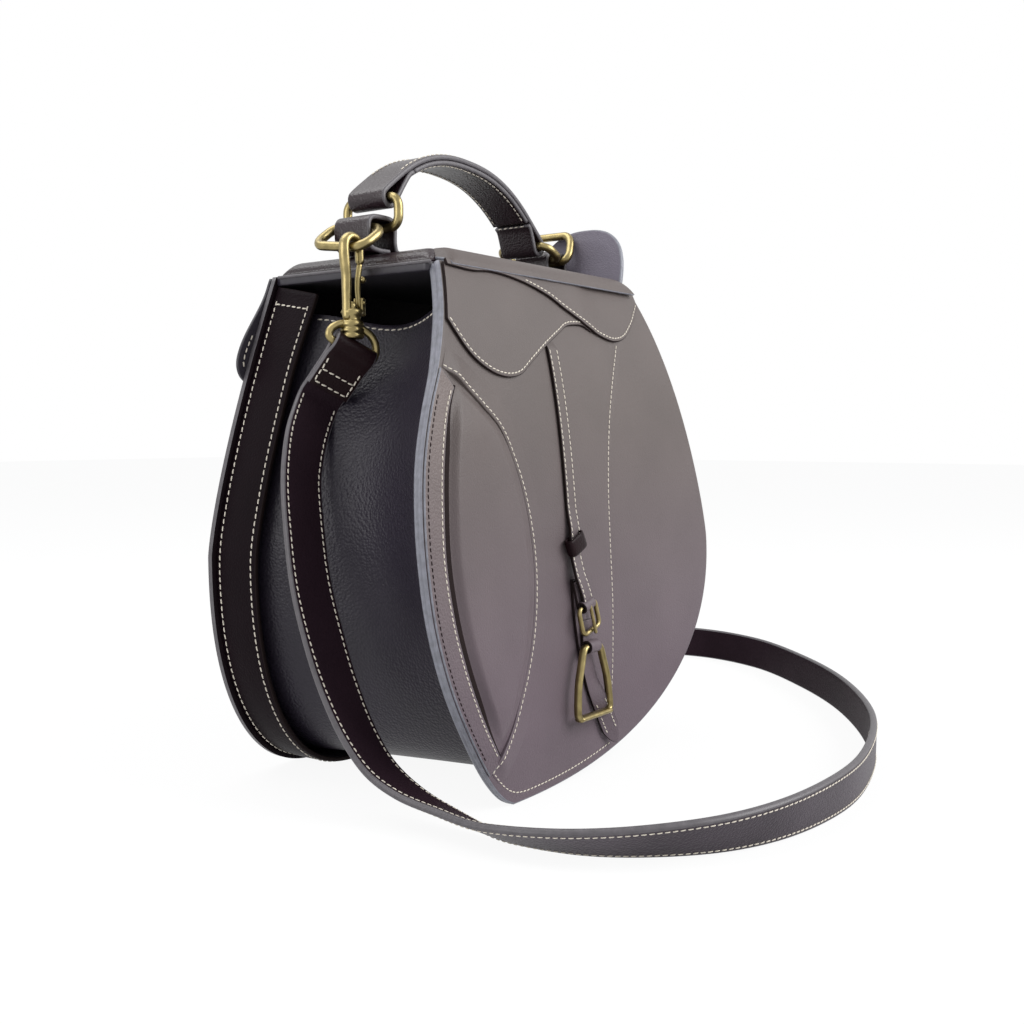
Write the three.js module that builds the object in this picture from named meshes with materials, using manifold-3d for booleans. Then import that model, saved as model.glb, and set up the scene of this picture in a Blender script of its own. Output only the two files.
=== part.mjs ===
// Saddle-shaped top handle bag: flap front, side gussets, arched handle and a long shoulder strap.
// Millimetres, +Z up. The flap faces -Y and the bag stands on the lower edges of its panels.
import * as THREE from 'three';
import { mergeVertices } from 'three/addons/utils/BufferGeometryUtils.js';
import Module from 'manifold-3d';

const wasm = await Module();
wasm.setup();

// Body: overall sizes
const BAG_HEIGHT = 240;
const TOP_DEPTH = 103;
const TOP_HALF = 82;
const WIDEST_HALF = 124;
const WIDEST_HEIGHT = 107;
const GAP = 0.3;

// Body: the flap's outline, whose lowest point lies left of the middle as on a forward-cut saddle
const LOW_X = -62;
const FLAP_FOOT = 1;
const LEFT_LOW_POWER = 1.63;
const LEFT_UP_POWER = 1.75;
const RIGHT_LOW_POWER = 2.2;
const RIGHT_UP_POWER = 1.3;

// Body: the back panel's outline, flat where it stands
const BACK_FLAT_HALF = 60;
const BACK_LOW_POWER = 2.3;
const BACK_UP_POWER = 1.3;

// Flap: its slope from vertical fades down its length, in degrees
const FOLD_SLOPE = 24.5;
const FOLD_FADE = 54;
const HANG_SLOPE = 2;
const FLAP_THICK = 3.6;

// Leather
const PANEL_THICK = 2.6;
const GUSSET_THICK = 2.2;
const LAYER_THICK = 1.6;
const STRAP_WIDE = 21;
const STRAP_THICK = 3.2;

// Inside of the flap: gap to the front panel, magnetic snap
const FRONT_SET_BACK = 9.4;
const MAGNET_RADIUS = 9;
const MAGNET_THICK = 2.4;
const MAGNET_DOWN = 150;

// Front panel
const MOUTH_DROP = 32;
const FRONT_INSET = 3;
const FRONT_FOOT_LEFT = -70;
const FRONT_FOOT_RIGHT = -14;
const FRONT_FOOT_RISE = 7;

// Gusset, rear band and base
const GUSSET_INSET_FRONT = 14;
const GUSSET_TOP = 214;
const GUSSET_FOLD_IN = 12;
const BAND_DEPTH = 26;
const BAND_INSET = 3;
const BAND_THICK = 2.4;
const BAND_TOP = 228;
const GUSSET_UNDER_BAND = 9;
const BASE_THICK = 2;
const U_POINTS = 64;
const GUSSET_STEPS = 52;
const GUSSET_ROWS = 6;
const BASE_STEPS = 12;

// Back yoke and inner pocket
const YOKE_DROP = 51;
const YOKE_WINGS = 6;
const YOKE_ROUND = 14;
const POCKET_HALF = 60;
const POCKET_LOW = 110;
const POCKET_HIGH = 190;

// Lid, seat and cantle
const LID_THICK = 4.2;
const LID_FRONT_GAP = 4.6;
const LID_INSET = 0.6;
const SEAT_LEFT = -79.5;
const SEAT_RIGHT = 76.8;
const SEAT_THICK = 7;
const SEAT_RIM = 2;
const SEAT_ROUND = 6;
const SEAT_MARGIN = 2;
const CANTLE_WIDE = 56;
const CANTLE_HIGH = 38;
const CANTLE_THICK = 3.3;
const CANTLE_LEAN = 15;
const CANTLE_Y = -18;
const CANTLE_X = 78.4;

// Handle, its rings and chapes
const HANDLE_HALF = 66;
const HANDLE_TOP = 303.4;
const HANDLE_POWER = 2.4;
const HANDLE_WIDE = 23;
const HANDLE_THICK = 5;
const RING_WIRE = 4.4;
const RING_INSIDE = 28;
const RING_CORNER = 2.2;
const RING_BOW = 5;
const HANDLE_RING_HIGH = 9.9;
const STRAP_RING_LONG = 14;
const EYE_CLEAR = 0.6;
const EYE_WALL = 2.4;
const CHAPE_WIDE = 22;
const CHAPE_BASE = 2.2;
const CHAPE_EYES = 9.6;
const CHAPE_TAIL = 15;
const CHAPE_RISE = 12.1;
const RIGHT_HANDLE_RING_LEAN = 65;
const LEFT_RING_DROOP = 35;
const RIGHT_RING_TILT = 61;

// Snap hooks
const HOOK_OPEN_HALF = 3.1;
const HOOK_LEG = 3.4;
const HOOK_THICK = 5.4;
const HOOK_ARC = 41;
const HOOK_NOSE = 34;
const HOOK_BASE = 9;
const HOOK_CLEVIS = 19;
const COLLAR_RADIUS = 5.4;
const NECK_RADIUS = 4.3;
const NECK_TOP = 13.4;
const STEM_RADIUS = 1.5;
const STEM_BORE = 1.9;
const STEM_HEAD = 2.6;
const GATE_THICK = 2.6;
const GATE_PIN = 0.8;
const GATE_PIN_BORE = 1.1;
const GATE_AXIS = [4.8, 16.4];
const SWIVEL_WIRE = 3.4;
const SWIVEL_HIGH = 7.5;
const SWIVEL_PLAY = 2.6;
const SWIVEL_LOW_CORNER = 0.9;
const SWIVEL_HIGH_CORNER = 3.6;
const FOLD_LONG = 26;
const LEFT_FOLD_LEAN = 40;
const LEFT_HOOK_Y = -5;
const RIGHT_HOOK_ALONG = 8.6;
const RIGHT_HOOK_DROP = 25;

// Shoulder strap: the route of its middle line from the left fold to the right one
const FLOOR_Z = STRAP_WIDE / 2 + GAP;
const STRAP_FLOOR = [
  [-112, -60, 17], [-107, -86, FLOOR_Z + 0.6], [-109, -117, FLOOR_Z], [-103, -141, FLOOR_Z],
  [-91, -162, FLOOR_Z], [-67, -184, FLOOR_Z], [-40, -197, FLOOR_Z], [5, -202, FLOOR_Z], [48, -197, FLOOR_Z],
  [115, -178, FLOOR_Z], [189, -134, FLOOR_Z], [244, -85, FLOOR_Z], [286, -32, FLOOR_Z], [299, 16, FLOOR_Z],
  [285, 60, FLOOR_Z], [250, 92, FLOOR_Z], [205, 106, FLOOR_Z + 1], [165, 106, 17], [136, 99, 33],
];
const STRAP_LEFT_HANG = [
  [-117, -5, 152], [-120, -8, 128], [-122, -13, 102], [-122, -19, 80], [-122, -28, 56], [-118, -41, 34],
];
const STRAP_RIGHT_HANG = [[119, 93, 60], [111, 86, 98], [106, 79, 140]];
const STRAP_STRAIGHT = 7;
const STRAP_STEPS = 80;

// Flap layers, as points across (x) and down (s) the flap
const SMALL_SKIRT_EDGE = [
  [-76, 3], [-61, 4], [-47, 3], [-33, 4], [-10, 9.5], [15, 19], [36, 27], [50, 29.5], [67, 21.5], [80, 9],
];
const LARGE_SKIRT_EDGE = [
  [-86, 26], [-80, 37.5], [-69, 48.5], [-56, 52], [-46, 50.5], [-34, 46], [-21, 37.5], [-10, 31.5], [8, 23.5], [40, 18],
];
const BAND_EDGE = [[-100.5, 51], [-112, 77], [-118, 114], [-116, 146], [-110, 172], [-98, 197], [-82, 224]];
const KNEE_EDGE = [
  [-95, 53], [-77, 64.5], [-59, 83.5], [-49, 102], [-44.5, 130], [-46, 158], [-54, 184], [-66, 206], [-79, 223],
];
const KNEE_THICK = 2.6;

// Stirrup leather and its hardware, down the flap
const LEATHER_WIDE = 8.4;
const LEATHER_X = -8;
const LEATHER_FROM = 34;
const LEATHER_TO = 143;
const LEATHER_THICK = 2.2;
const KEEPER_DOWN = 131;
const KEEPER_LONG = 8;
const KEEPER_WALL = 1.3;
const BILLET_FROM = 145;
const BILLET_TO = 229;
const BILLET_DRIFT = 11;
const BUCKLE_X = -2;
const BUCKLE_DOWN = 159;
const BUCKLE_INSIDE = [12.4, 10.6];
const BUCKLE_WIRE = 2.2;
const BUCKLE_OUT = 4.9;
const LOOP_WALL = 1.4;
const LOOP_CLEAR = 0.4;
const LOOP_WIDE = 9;
const PRONG_WIDE = 2;
const STIRRUP_X = 0;
const STIRRUP_DOWN = 181;
const STIRRUP_HIGH = 33;
const STIRRUP_TOP_WIDE = 15;
const STIRRUP_WIDE = 27;
const STIRRUP_WIRE = 2.8;
const STIRRUP_OUT = 5.2;
const TREAD_DEEP = 5.6;

// Materials
const finish = (color, roughness, metalness = 0) => new THREE.MeshStandardMaterial({ color, roughness, metalness });
const LEATHER_FRONT = [0x5d5350, 0.55];
const LEATHER_DARK = [0x2c2329, 0.6];
const LEATHER_TAN = [0x4a2b30, 0.5];
const BRASS = [0xa8873f, 0.35, 0.9];
const STEEL = [0x8d8d90, 0.35, 0.9];
const BOARD = [0x35302e, 0.8];

const bag = new THREE.Group();

function piece(name, geometry, look, parent = bag) {
  const mesh = new THREE.Mesh(geometry, finish(...look));
  mesh.name = name;
  parent.add(mesh);
  return mesh;
}

// Closed solid from shared vertices, turned so that its faces point out
function solid(vertices, triangles) {
  let volume = 0;
  for (const [a, b, c] of triangles) {
    volume += vertices[a].dot(new THREE.Vector3().crossVectors(vertices[b], vertices[c]));
  }
  const index = volume > 0 ? triangles.flat() : triangles.flatMap(([a, b, c]) => [a, c, b]);
  const geometry = new THREE.BufferGeometry().setFromPoints(vertices);
  geometry.setIndex(index);
  return geometry;
}

// Leather sheet: pointAt(u, v, side) gives its two faces, and walls close its borders
function sheet(columns, rows, pointAt) {
  const vertices = [];
  const triangles = [];
  const at = (side, i, j) => (side * (columns + 1) + i) * (rows + 1) + j;
  const quad = (a, b, c, d) => triangles.push([a, b, c], [a, c, d]);
  for (const side of [0, 1]) {
    for (let i = 0; i <= columns; i += 1) {
      for (let j = 0; j <= rows; j += 1) vertices.push(pointAt(i / columns, j / rows, side));
    }
  }
  for (let i = 0; i < columns; i += 1) {
    for (let j = 0; j < rows; j += 1) {
      quad(at(0, i, j), at(0, i, j + 1), at(0, i + 1, j + 1), at(0, i + 1, j));
      quad(at(1, i, j), at(1, i + 1, j), at(1, i + 1, j + 1), at(1, i, j + 1));
    }
  }
  for (let i = 0; i < columns; i += 1) {
    quad(at(0, i, 0), at(0, i + 1, 0), at(1, i + 1, 0), at(1, i, 0));
    quad(at(0, i, rows), at(1, i, rows), at(1, i + 1, rows), at(0, i + 1, rows));
  }
  for (let j = 0; j < rows; j += 1) {
    quad(at(0, 0, j), at(1, 0, j), at(1, 0, j + 1), at(0, 0, j + 1));
    quad(at(0, columns, j), at(0, columns, j + 1), at(1, columns, j + 1), at(1, columns, j));
  }
  return solid(vertices, triangles);
}

// Joins and cuts
function toManifold(geometry) {
  const bare = geometry.clone();
  bare.deleteAttribute('normal');
  bare.deleteAttribute('uv');
  const merged = mergeVertices(bare, 1e-4);
  const mesh = new wasm.Mesh({
    numProp: 3,
    vertProperties: new Float32Array(merged.attributes.position.array),
    triVerts: new Uint32Array(merged.index.array),
  });
  return new wasm.Manifold(mesh);
}

function fromManifold(manifold) {
  const mesh = manifold.getMesh();
  const geometry = new THREE.BufferGeometry();
  geometry.setAttribute('position', new THREE.BufferAttribute(new Float32Array(mesh.vertProperties), 3));
  geometry.setIndex(new THREE.BufferAttribute(new Uint32Array(mesh.triVerts), 1));
  return geometry;
}

function combine(added, removed = []) {
  let result = toManifold(added[0]);
  for (const geometry of added.slice(1)) result = result.add(toManifold(geometry));
  for (const geometry of removed) result = result.subtract(toManifold(geometry));
  return fromManifold(result);
}

// Cylinder along one axis, centred
function rod(radius, length, axis, sides = 20) {
  const geometry = new THREE.CylinderGeometry(radius, radius, length, sides);
  if (axis === 'x') geometry.rotateZ(Math.PI / 2);
  if (axis === 'z') geometry.rotateX(Math.PI / 2);
  return geometry;
}

// Outline drawn in x and z, carried along y and centred there
function slab(shape, wide, options = {}) {
  const geometry = new THREE.ExtrudeGeometry(shape, { depth: wide, bevelEnabled: false, curveSegments: 8, ...options });
  geometry.translate(0, 0, -wide / 2);
  geometry.rotateX(Math.PI / 2);
  return geometry;
}

function roundedBox(path, wide, high, lowRadius, highRadius) {
  const x = wide / 2;
  const y = high / 2;
  path.moveTo(-x + lowRadius, -y);
  path.lineTo(x - lowRadius, -y);
  path.absarc(x - lowRadius, -y + lowRadius, lowRadius, -Math.PI / 2, 0, false);
  path.lineTo(x, y - highRadius);
  path.absarc(x - highRadius, y - highRadius, highRadius, 0, Math.PI / 2, false);
  path.lineTo(-x + highRadius, y);
  path.absarc(-x + highRadius, y - highRadius, highRadius, Math.PI / 2, Math.PI, false);
  path.lineTo(-x, -y + lowRadius);
  path.absarc(-x + lowRadius, -y + lowRadius, lowRadius, Math.PI, Math.PI * 1.5, false);
  return path;
}

// Ring of round wire bent to a box with soft corners: wide along x, high along z
function wireRing(wide, high, lowRadius, highRadius, wire) {
  const bevel = wire * 0.3;
  const grow = wire - bevel;
  const shape = roundedBox(new THREE.Shape(), wide + 2 * grow, high + 2 * grow, lowRadius + grow, highRadius + grow);
  shape.holes.push(roundedBox(new THREE.Path(), wide + 2 * bevel, high + 2 * bevel, lowRadius + bevel, highRadius + bevel));
  const flat = wire - 2 * bevel;
  const rounding = { bevelEnabled: true, bevelThickness: bevel, bevelSize: bevel, bevelSegments: 1, curveSegments: 4 };
  return slab(shape, flat, rounding);
}

// Curves through a few points, read by one coordinate
function reader(points, key, value) {
  const curve = new THREE.SplineCurve(points.map(([x, s]) => new THREE.Vector2(x, s)));
  const dense = curve.getPoints(points.length * 12);
  return (wanted) => {
    let k = dense.findIndex((p, i) => i > 0 && p[key] >= wanted);
    if (k < 1) k = wanted <= dense[0][key] ? 1 : dense.length - 1;
    const share = (wanted - dense[k - 1][key]) / (dense[k][key] - dense[k - 1][key]);
    return THREE.MathUtils.lerp(dense[k - 1][value], dense[k][value], share);
  };
}
const edgeByX = (points) => reader(points, 'x', 'y');
const edgeByDown = (points) => reader(points, 'y', 'x');

// Flap surface: s runs down it from the fold, t stands out of it
const slopeAt = (s) => THREE.MathUtils.degToRad(FOLD_SLOPE * Math.exp(-s / FOLD_FADE) + HANG_SLOPE);
const PROFILE_STEP = 0.5;
const profile = [new THREE.Vector2(-TOP_DEPTH / 2, BAG_HEIGHT)];
while (profile[profile.length - 1].y > -4) {
  const slope = slopeAt((profile.length - 0.5) * PROFILE_STEP);
  const last = profile[profile.length - 1];
  profile.push(new THREE.Vector2(last.x - Math.sin(slope) * PROFILE_STEP, last.y - Math.cos(slope) * PROFILE_STEP));
}

function profileAt(s) {
  const place = THREE.MathUtils.clamp(s / PROFILE_STEP, 0, profile.length - 1.001);
  const k = Math.floor(place);
  return profile[k].clone().lerp(profile[k + 1], place - k);
}

function downAt(z) {
  const k = Math.max(1, profile.findIndex((p) => p.y <= z));
  return (k - 1 + (profile[k - 1].y - z) / (profile[k - 1].y - profile[k].y)) * PROFILE_STEP;
}

function flapPoint(x, s, t) {
  const p = profileAt(s);
  const slope = slopeAt(s);
  return new THREE.Vector3(x, p.x - t * Math.cos(slope), p.y + t * Math.sin(slope));
}

const frontPoint = (x, z, back) => new THREE.Vector3(x, profileAt(downAt(z)).x + back, z);

// Group on the flap: x across, z up along the flap, -y out of it
function flapGroup(x, s, t) {
  const group = new THREE.Group();
  group.position.copy(flapPoint(x, s, t));
  group.rotation.x = -slopeAt(s);
  bag.add(group);
  return group;
}

// Half width of an outline at a height, measured to one side from x = 0
function halfWidth(z, low, lowPower, upPower, foot) {
  if (z >= WIDEST_HEIGHT) {
    const up = (z - WIDEST_HEIGHT) / (BAG_HEIGHT - WIDEST_HEIGHT);
    return WIDEST_HALF - (WIDEST_HALF - TOP_HALF) * up ** upPower;
  }
  const down = Math.min(1, (WIDEST_HEIGHT - z) / (WIDEST_HEIGHT - foot));
  return low + (WIDEST_HALF - low) * Math.max(0, 1 - down ** lowPower) ** (1 / lowPower);
}
const flapLeft = (z) => -halfWidth(z, -LOW_X, LEFT_LOW_POWER, LEFT_UP_POWER, FLAP_FOOT);
const flapRight = (z) => halfWidth(z, LOW_X, RIGHT_LOW_POWER, RIGHT_UP_POWER, FLAP_FOOT);
const backHalf = (z) => halfWidth(z, BACK_FLAT_HALF, BACK_LOW_POWER, BACK_UP_POWER, 0);

// Heights of an outline's rows, closer together where it rounds under
function outlineHeights(foot, top, firstTurn) {
  const heights = [];
  const LOW_ROWS = 13;
  const HIGH_ROWS = 11;
  for (let k = 0; k < LOW_ROWS; k += 1) {
    const turn = THREE.MathUtils.lerp(firstTurn, Math.PI / 2, k / LOW_ROWS);
    heights.push(WIDEST_HEIGHT - (WIDEST_HEIGHT - foot) * Math.cos(turn) ** (2 / BACK_LOW_POWER));
  }
  for (let k = 0; k <= HIGH_ROWS; k += 1) {
    heights.push(THREE.MathUtils.lerp(WIDEST_HEIGHT, top, k / HIGH_ROWS));
  }
  return heights;
}

// Flap panel and the layers sewn on it
function flapPanel() {
  const heights = outlineHeights(FLAP_FOOT, BAG_HEIGHT, 0.1);
  const rows = heights.length - 1;
  const point = (u, v, side) => {
    const z = heights[Math.round(v * rows)];
    const x = THREE.MathUtils.lerp(flapLeft(z), flapRight(z), u);
    return flapPoint(x, downAt(z), side ? 0 : -FLAP_THICK);
  };
  piece('flap_panel', sheet(1, rows, point), LEATHER_FRONT);
}

function skirt(name, edgePoints, topDown, inner) {
  const edge = edgeByX(edgePoints);
  const from = edgePoints[0][0];
  const to = edgePoints[edgePoints.length - 1][0];
  const point = (u, v, side) => {
    const x = THREE.MathUtils.lerp(from, to, u);
    return flapPoint(x, THREE.MathUtils.lerp(topDown, edge(x), v), inner + side * LAYER_THICK);
  };
  piece(name, sheet(26, 4, point), LEATHER_FRONT);
}

function sideLayer(name, left, right, from, to, thick) {
  const point = (u, v, side) => {
    const s = THREE.MathUtils.lerp(from, to, v);
    return flapPoint(THREE.MathUtils.lerp(left(s), right(s), u), s, GAP + side * thick);
  };
  piece(name, sheet(1, 24, point), LEATHER_FRONT);
}

function flapLayers() {
  skirt('large_skirt', LARGE_SKIRT_EDGE, 2, GAP);
  skirt('small_skirt', SMALL_SKIRT_EDGE, 1, 2 * GAP + LAYER_THICK);
  const bandEdge = edgeByDown(BAND_EDGE);
  const kneeEdge = edgeByDown(KNEE_EDGE);
  const bandFrom = BAND_EDGE[0][1] + 2;
  const bandTo = BAND_EDGE[BAND_EDGE.length - 1][1];
  const flapSide = (s) => flapLeft(profileAt(s).y) + 0.6;
  sideLayer('flap_edge_band', flapSide, bandEdge, bandFrom, bandTo, LAYER_THICK);
  const kneeFrom = KNEE_EDGE[0][1] + 2;
  const kneeTo = KNEE_EDGE[KNEE_EDGE.length - 1][1] - 2;
  sideLayer('knee_roll', (s) => bandEdge(s) + GAP, kneeEdge, kneeFrom, kneeTo, KNEE_THICK);
}

// Stirrup leather: sewn to the flap, its lower end lifted to pass through the keeper
function stirrupLeather() {
  const lift = KEEPER_WALL + 2 * GAP;
  const bottomAt = (s) => GAP + (lift - GAP) * THREE.MathUtils.smoothstep(s, KEEPER_DOWN - 16, KEEPER_DOWN - 6);
  const point = (u, v, side) => {
    const s = THREE.MathUtils.lerp(LEATHER_FROM, LEATHER_TO, v);
    const x = LEATHER_X + (u - 0.5) * LEATHER_WIDE;
    return flapPoint(x, s, bottomAt(s) + side * LEATHER_THICK);
  };
  piece('stirrup_leather', sheet(1, 24, point), LEATHER_FRONT);

  const inner = LEATHER_WIDE + 2 * GAP;
  const high = LEATHER_THICK + 2 * GAP;
  const shape = roundedBox(new THREE.Shape(), inner + 2 * KEEPER_WALL, high + 2 * KEEPER_WALL, 1.2, 1.2);
  shape.holes.push(roundedBox(new THREE.Path(), inner, high, 0.4, 0.4));
  const loop = new THREE.ExtrudeGeometry(shape, { depth: KEEPER_LONG, bevelEnabled: false, curveSegments: 3 });
  loop.translate(0, 0, -KEEPER_LONG / 2);
  const group = flapGroup(LEATHER_X, KEEPER_DOWN, GAP + KEEPER_WALL + high / 2);
  piece('keeper_loop', loop, LEATHER_TAN, group);

  const half = LEATHER_WIDE / 2;
  const tip = (s) => half * Math.min(1, (BILLET_TO - s) / LEATHER_WIDE + 0.08);
  const billet = (u, v, side) => {
    const s = THREE.MathUtils.lerp(BILLET_FROM, BILLET_TO, v);
    const x = BUCKLE_X - 2 + BILLET_DRIFT * v ** 2 + (2 * u - 1) * tip(s);
    return flapPoint(x, s, GAP + side * (LAYER_THICK - 0.2));
  };
  piece('billet_tail', sheet(1, 30, billet), LEATHER_FRONT);
}

// Leather fold round a bar along x: an eye with a tongue up the flap, slotted where a prong turns
function foldLoop(bar, tongueLong, tongueThick, slotWide) {
  const inside = bar / 2 + LOOP_CLEAR;
  const outside = inside + LOOP_WALL;
  const low = -outside;
  const corner = Math.sqrt(outside ** 2 - (low + tongueThick) ** 2);
  const outline = new THREE.Shape();
  const from = Math.atan2(corner, low + tongueThick);
  outline.moveTo(low + tongueThick, corner);
  outline.lineTo(low + tongueThick, tongueLong);
  outline.lineTo(low, tongueLong);
  outline.lineTo(low, 0);
  outline.absarc(0, 0, outside, Math.PI, Math.PI * 2 + from, false);
  outline.holes.push(new THREE.Path().absarc(0, 0, inside, 0, Math.PI * 2, true));
  const geometry = new THREE.ExtrudeGeometry(outline, { depth: LOOP_WIDE, bevelEnabled: false, curveSegments: 16 });
  geometry.translate(0, 0, -LOOP_WIDE / 2);
  geometry.rotateX(Math.PI / 2);
  geometry.rotateZ(-Math.PI / 2);
  if (!slotWide) return geometry;
  const slot = new THREE.BoxGeometry(slotWide, 4 * outside, 2 * outside + 1);
  slot.translate(0, 0, -0.6);
  return combine([geometry], [slot]);
}

function buckleAndStirrup() {
  const buckle = flapGroup(BUCKLE_X, BUCKLE_DOWN, BUCKLE_OUT);
  const [inX, inZ] = BUCKLE_INSIDE;
  const frame = wireRing(inX, inZ, 2, 2, BUCKLE_WIRE);
  frame.translate(0, 0, -(inZ + BUCKLE_WIRE) / 2);
  piece('buckle_frame', frame, BRASS, buckle);
  const prongGap = PRONG_WIDE + 2 * GAP;
  piece('buckle_loop', foldLoop(BUCKLE_WIRE, 13.5, 2.4, prongGap), LEATHER_FRONT, buckle);

  const eye = BUCKLE_WIRE / 2 + LOOP_CLEAR;
  const reach = inZ + BUCKLE_WIRE + 1;
  const rest = BUCKLE_WIRE / 2 + GAP;
  const prong = new THREE.Shape();
  const wall = eye + 0.9;
  const start = Math.asin(rest / wall);
  prong.moveTo(wall * Math.cos(start), rest);
  prong.lineTo(reach, rest);
  prong.lineTo(reach, rest + 1.2);
  prong.lineTo(wall * Math.cos(Math.asin((rest + 1.2) / (wall + 0.8))), rest + 1.2);
  prong.absarc(0, 0, wall, 1.2, Math.PI * 2 + start, false);
  prong.holes.push(new THREE.Path().absarc(0, 0, eye, 0, Math.PI * 2, true));
  const tongue = new THREE.ExtrudeGeometry(prong, { depth: PRONG_WIDE, bevelEnabled: false, curveSegments: 14 });
  tongue.translate(0, 0, -PRONG_WIDE / 2);
  const turn = new THREE.Matrix4().makeBasis(
    new THREE.Vector3(0, 0, -1),
    new THREE.Vector3(0, -1, 0),
    new THREE.Vector3(-1, 0, 0),
  );
  tongue.applyMatrix4(turn);
  piece('buckle_prong', tongue, BRASS, buckle);

  const iron = flapGroup(STIRRUP_X, STIRRUP_DOWN, STIRRUP_OUT);
  const outer = new THREE.Shape();
  const bevel = STIRRUP_WIRE * 0.3;
  const trapezoid = (path, grow) => {
    const top = STIRRUP_TOP_WIDE / 2 + grow;
    const low = STIRRUP_WIDE / 2 + grow;
    path.moveTo(-low, -STIRRUP_HIGH - grow);
    path.lineTo(low, -STIRRUP_HIGH - grow);
    path.lineTo(low, -STIRRUP_HIGH * 0.62);
    path.quadraticCurveTo(low - 1, -STIRRUP_HIGH * 0.3, top, -3);
    path.lineTo(top - 1.5, grow);
    path.lineTo(-top + 1.5, grow);
    path.lineTo(-top, -3);
    path.quadraticCurveTo(-low + 1, -STIRRUP_HIGH * 0.3, -low, -STIRRUP_HIGH * 0.62);
    return path;
  };
  const half = STIRRUP_WIRE / 2;
  trapezoid(outer, half - bevel);
  outer.holes.push(trapezoid(new THREE.Path(), -half + bevel - 0.001));
  const rounding = { bevelEnabled: true, bevelThickness: bevel, bevelSize: bevel, bevelSegments: 1, curveSegments: 5 };
  const ring = slab(outer, STIRRUP_WIRE - 2 * bevel, rounding);
  const tread = slab(
    roundedBox(new THREE.Shape(), STIRRUP_WIDE - STIRRUP_WIRE + 0.4, STIRRUP_WIRE - 0.2, 0.9, 0.9),
    TREAD_DEEP,
  );
  tread.translate(0, 0, -STIRRUP_HIGH);
  piece('stirrup', combine([ring, tread]), BRASS, iron);
  piece('stirrup_loop', foldLoop(STIRRUP_WIRE, 13, 1.5, 0), LEATHER_FRONT, iron);
}

// Front panel under the flap, with the mouth of the bag above it
function frontPanel() {
  const heights = outlineHeights(FLAP_FOOT, profileAt(MOUTH_DROP).y, 0.3).filter((z) => z > FRONT_FOOT_RISE);
  const list = [0, ...heights];
  const rows = list.length - 1;
  const span = (z) => {
    if (z === 0) return [FRONT_FOOT_LEFT, FRONT_FOOT_RIGHT];
    return [flapLeft(z) + FRONT_INSET, flapRight(z) - FRONT_INSET];
  };
  const point = (u, v, side) => {
    const z = list[Math.round(v * rows)];
    const [left, right] = span(z);
    return frontPoint(THREE.MathUtils.lerp(left, right, u), z, FRONT_SET_BACK + side * PANEL_THICK);
  };
  piece('front_panel', sheet(1, rows, point), LEATHER_DARK);
}

// Magnetic snap: one half behind the flap, one on the front panel
function magneticSnap() {
  const halves = [['snap_flap_half', FLAP_THICK + GAP], ['snap_front_half', FRONT_SET_BACK - GAP - MAGNET_THICK]];
  for (const [name, depth] of halves) {
    const disc = rod(MAGNET_RADIUS, MAGNET_THICK, 'y', 28);
    piece(name, disc, STEEL, flapGroup(0, MAGNET_DOWN, -depth - MAGNET_THICK / 2));
  }
}

// Back panel with its yoke outside and a slip pocket inside
function backPanel() {
  const heights = outlineHeights(0, BAG_HEIGHT, 0);
  const rows = heights.length - 1;
  const outerY = TOP_DEPTH / 2;
  const point = (u, v, side) => {
    const z = heights[Math.round(v * rows)];
    return new THREE.Vector3((2 * u - 1) * backHalf(z), outerY - side * PANEL_THICK, z);
  };
  piece('back_panel', sheet(1, rows, point), LEATHER_DARK);

  const yokeRows = 18;
  const yoke = (u, v, side) => {
    const z = BAG_HEIGHT - 1 - v * YOKE_DROP;
    const wing = YOKE_WINGS * THREE.MathUtils.smoothstep(v, 0.1, 0.7);
    const under = Math.max(0, YOKE_ROUND - (1 - v) * YOKE_DROP);
    const round = YOKE_ROUND - Math.sqrt(YOKE_ROUND ** 2 - under ** 2);
    const x = (2 * u - 1) * (backHalf(z) + wing - round);
    return new THREE.Vector3(x, outerY + GAP + side * LAYER_THICK, z);
  };
  piece('back_yoke', sheet(1, yokeRows, yoke), LEATHER_DARK);

  const pocket = roundedBox(new THREE.Shape(), 2 * POCKET_HALF, POCKET_HIGH - POCKET_LOW, 10, 2);
  const pocketPlate = slab(pocket, LAYER_THICK);
  pocketPlate.translate(0, outerY - PANEL_THICK - GAP - LAYER_THICK / 2, (POCKET_HIGH + POCKET_LOW) / 2);
  piece('slip_pocket', pocketPlate, LEATHER_DARK);
}

// Open U of an outline from its left top round the bottom to its right top, set in by a distance
function outlineU(left, right, foot, top, inset) {
  const points = [];
  const heights = outlineHeights(foot, top, 0.02);
  for (const z of [...heights].reverse()) points.push(new THREE.Vector2(left(z), z));
  for (const z of heights) points.push(new THREE.Vector2(right(z), z));
  const inner = points.map((p, k) => {
    const before = points[Math.max(0, k - 1)];
    const after = points[Math.min(points.length - 1, k + 1)];
    const along = after.clone().sub(before).normalize();
    return new THREE.Vector2(p.x - along.y * inset, p.y + along.x * inset);
  });
  return new THREE.SplineCurve(new THREE.Path(inner).getSpacedPoints(U_POINTS));
}

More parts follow.
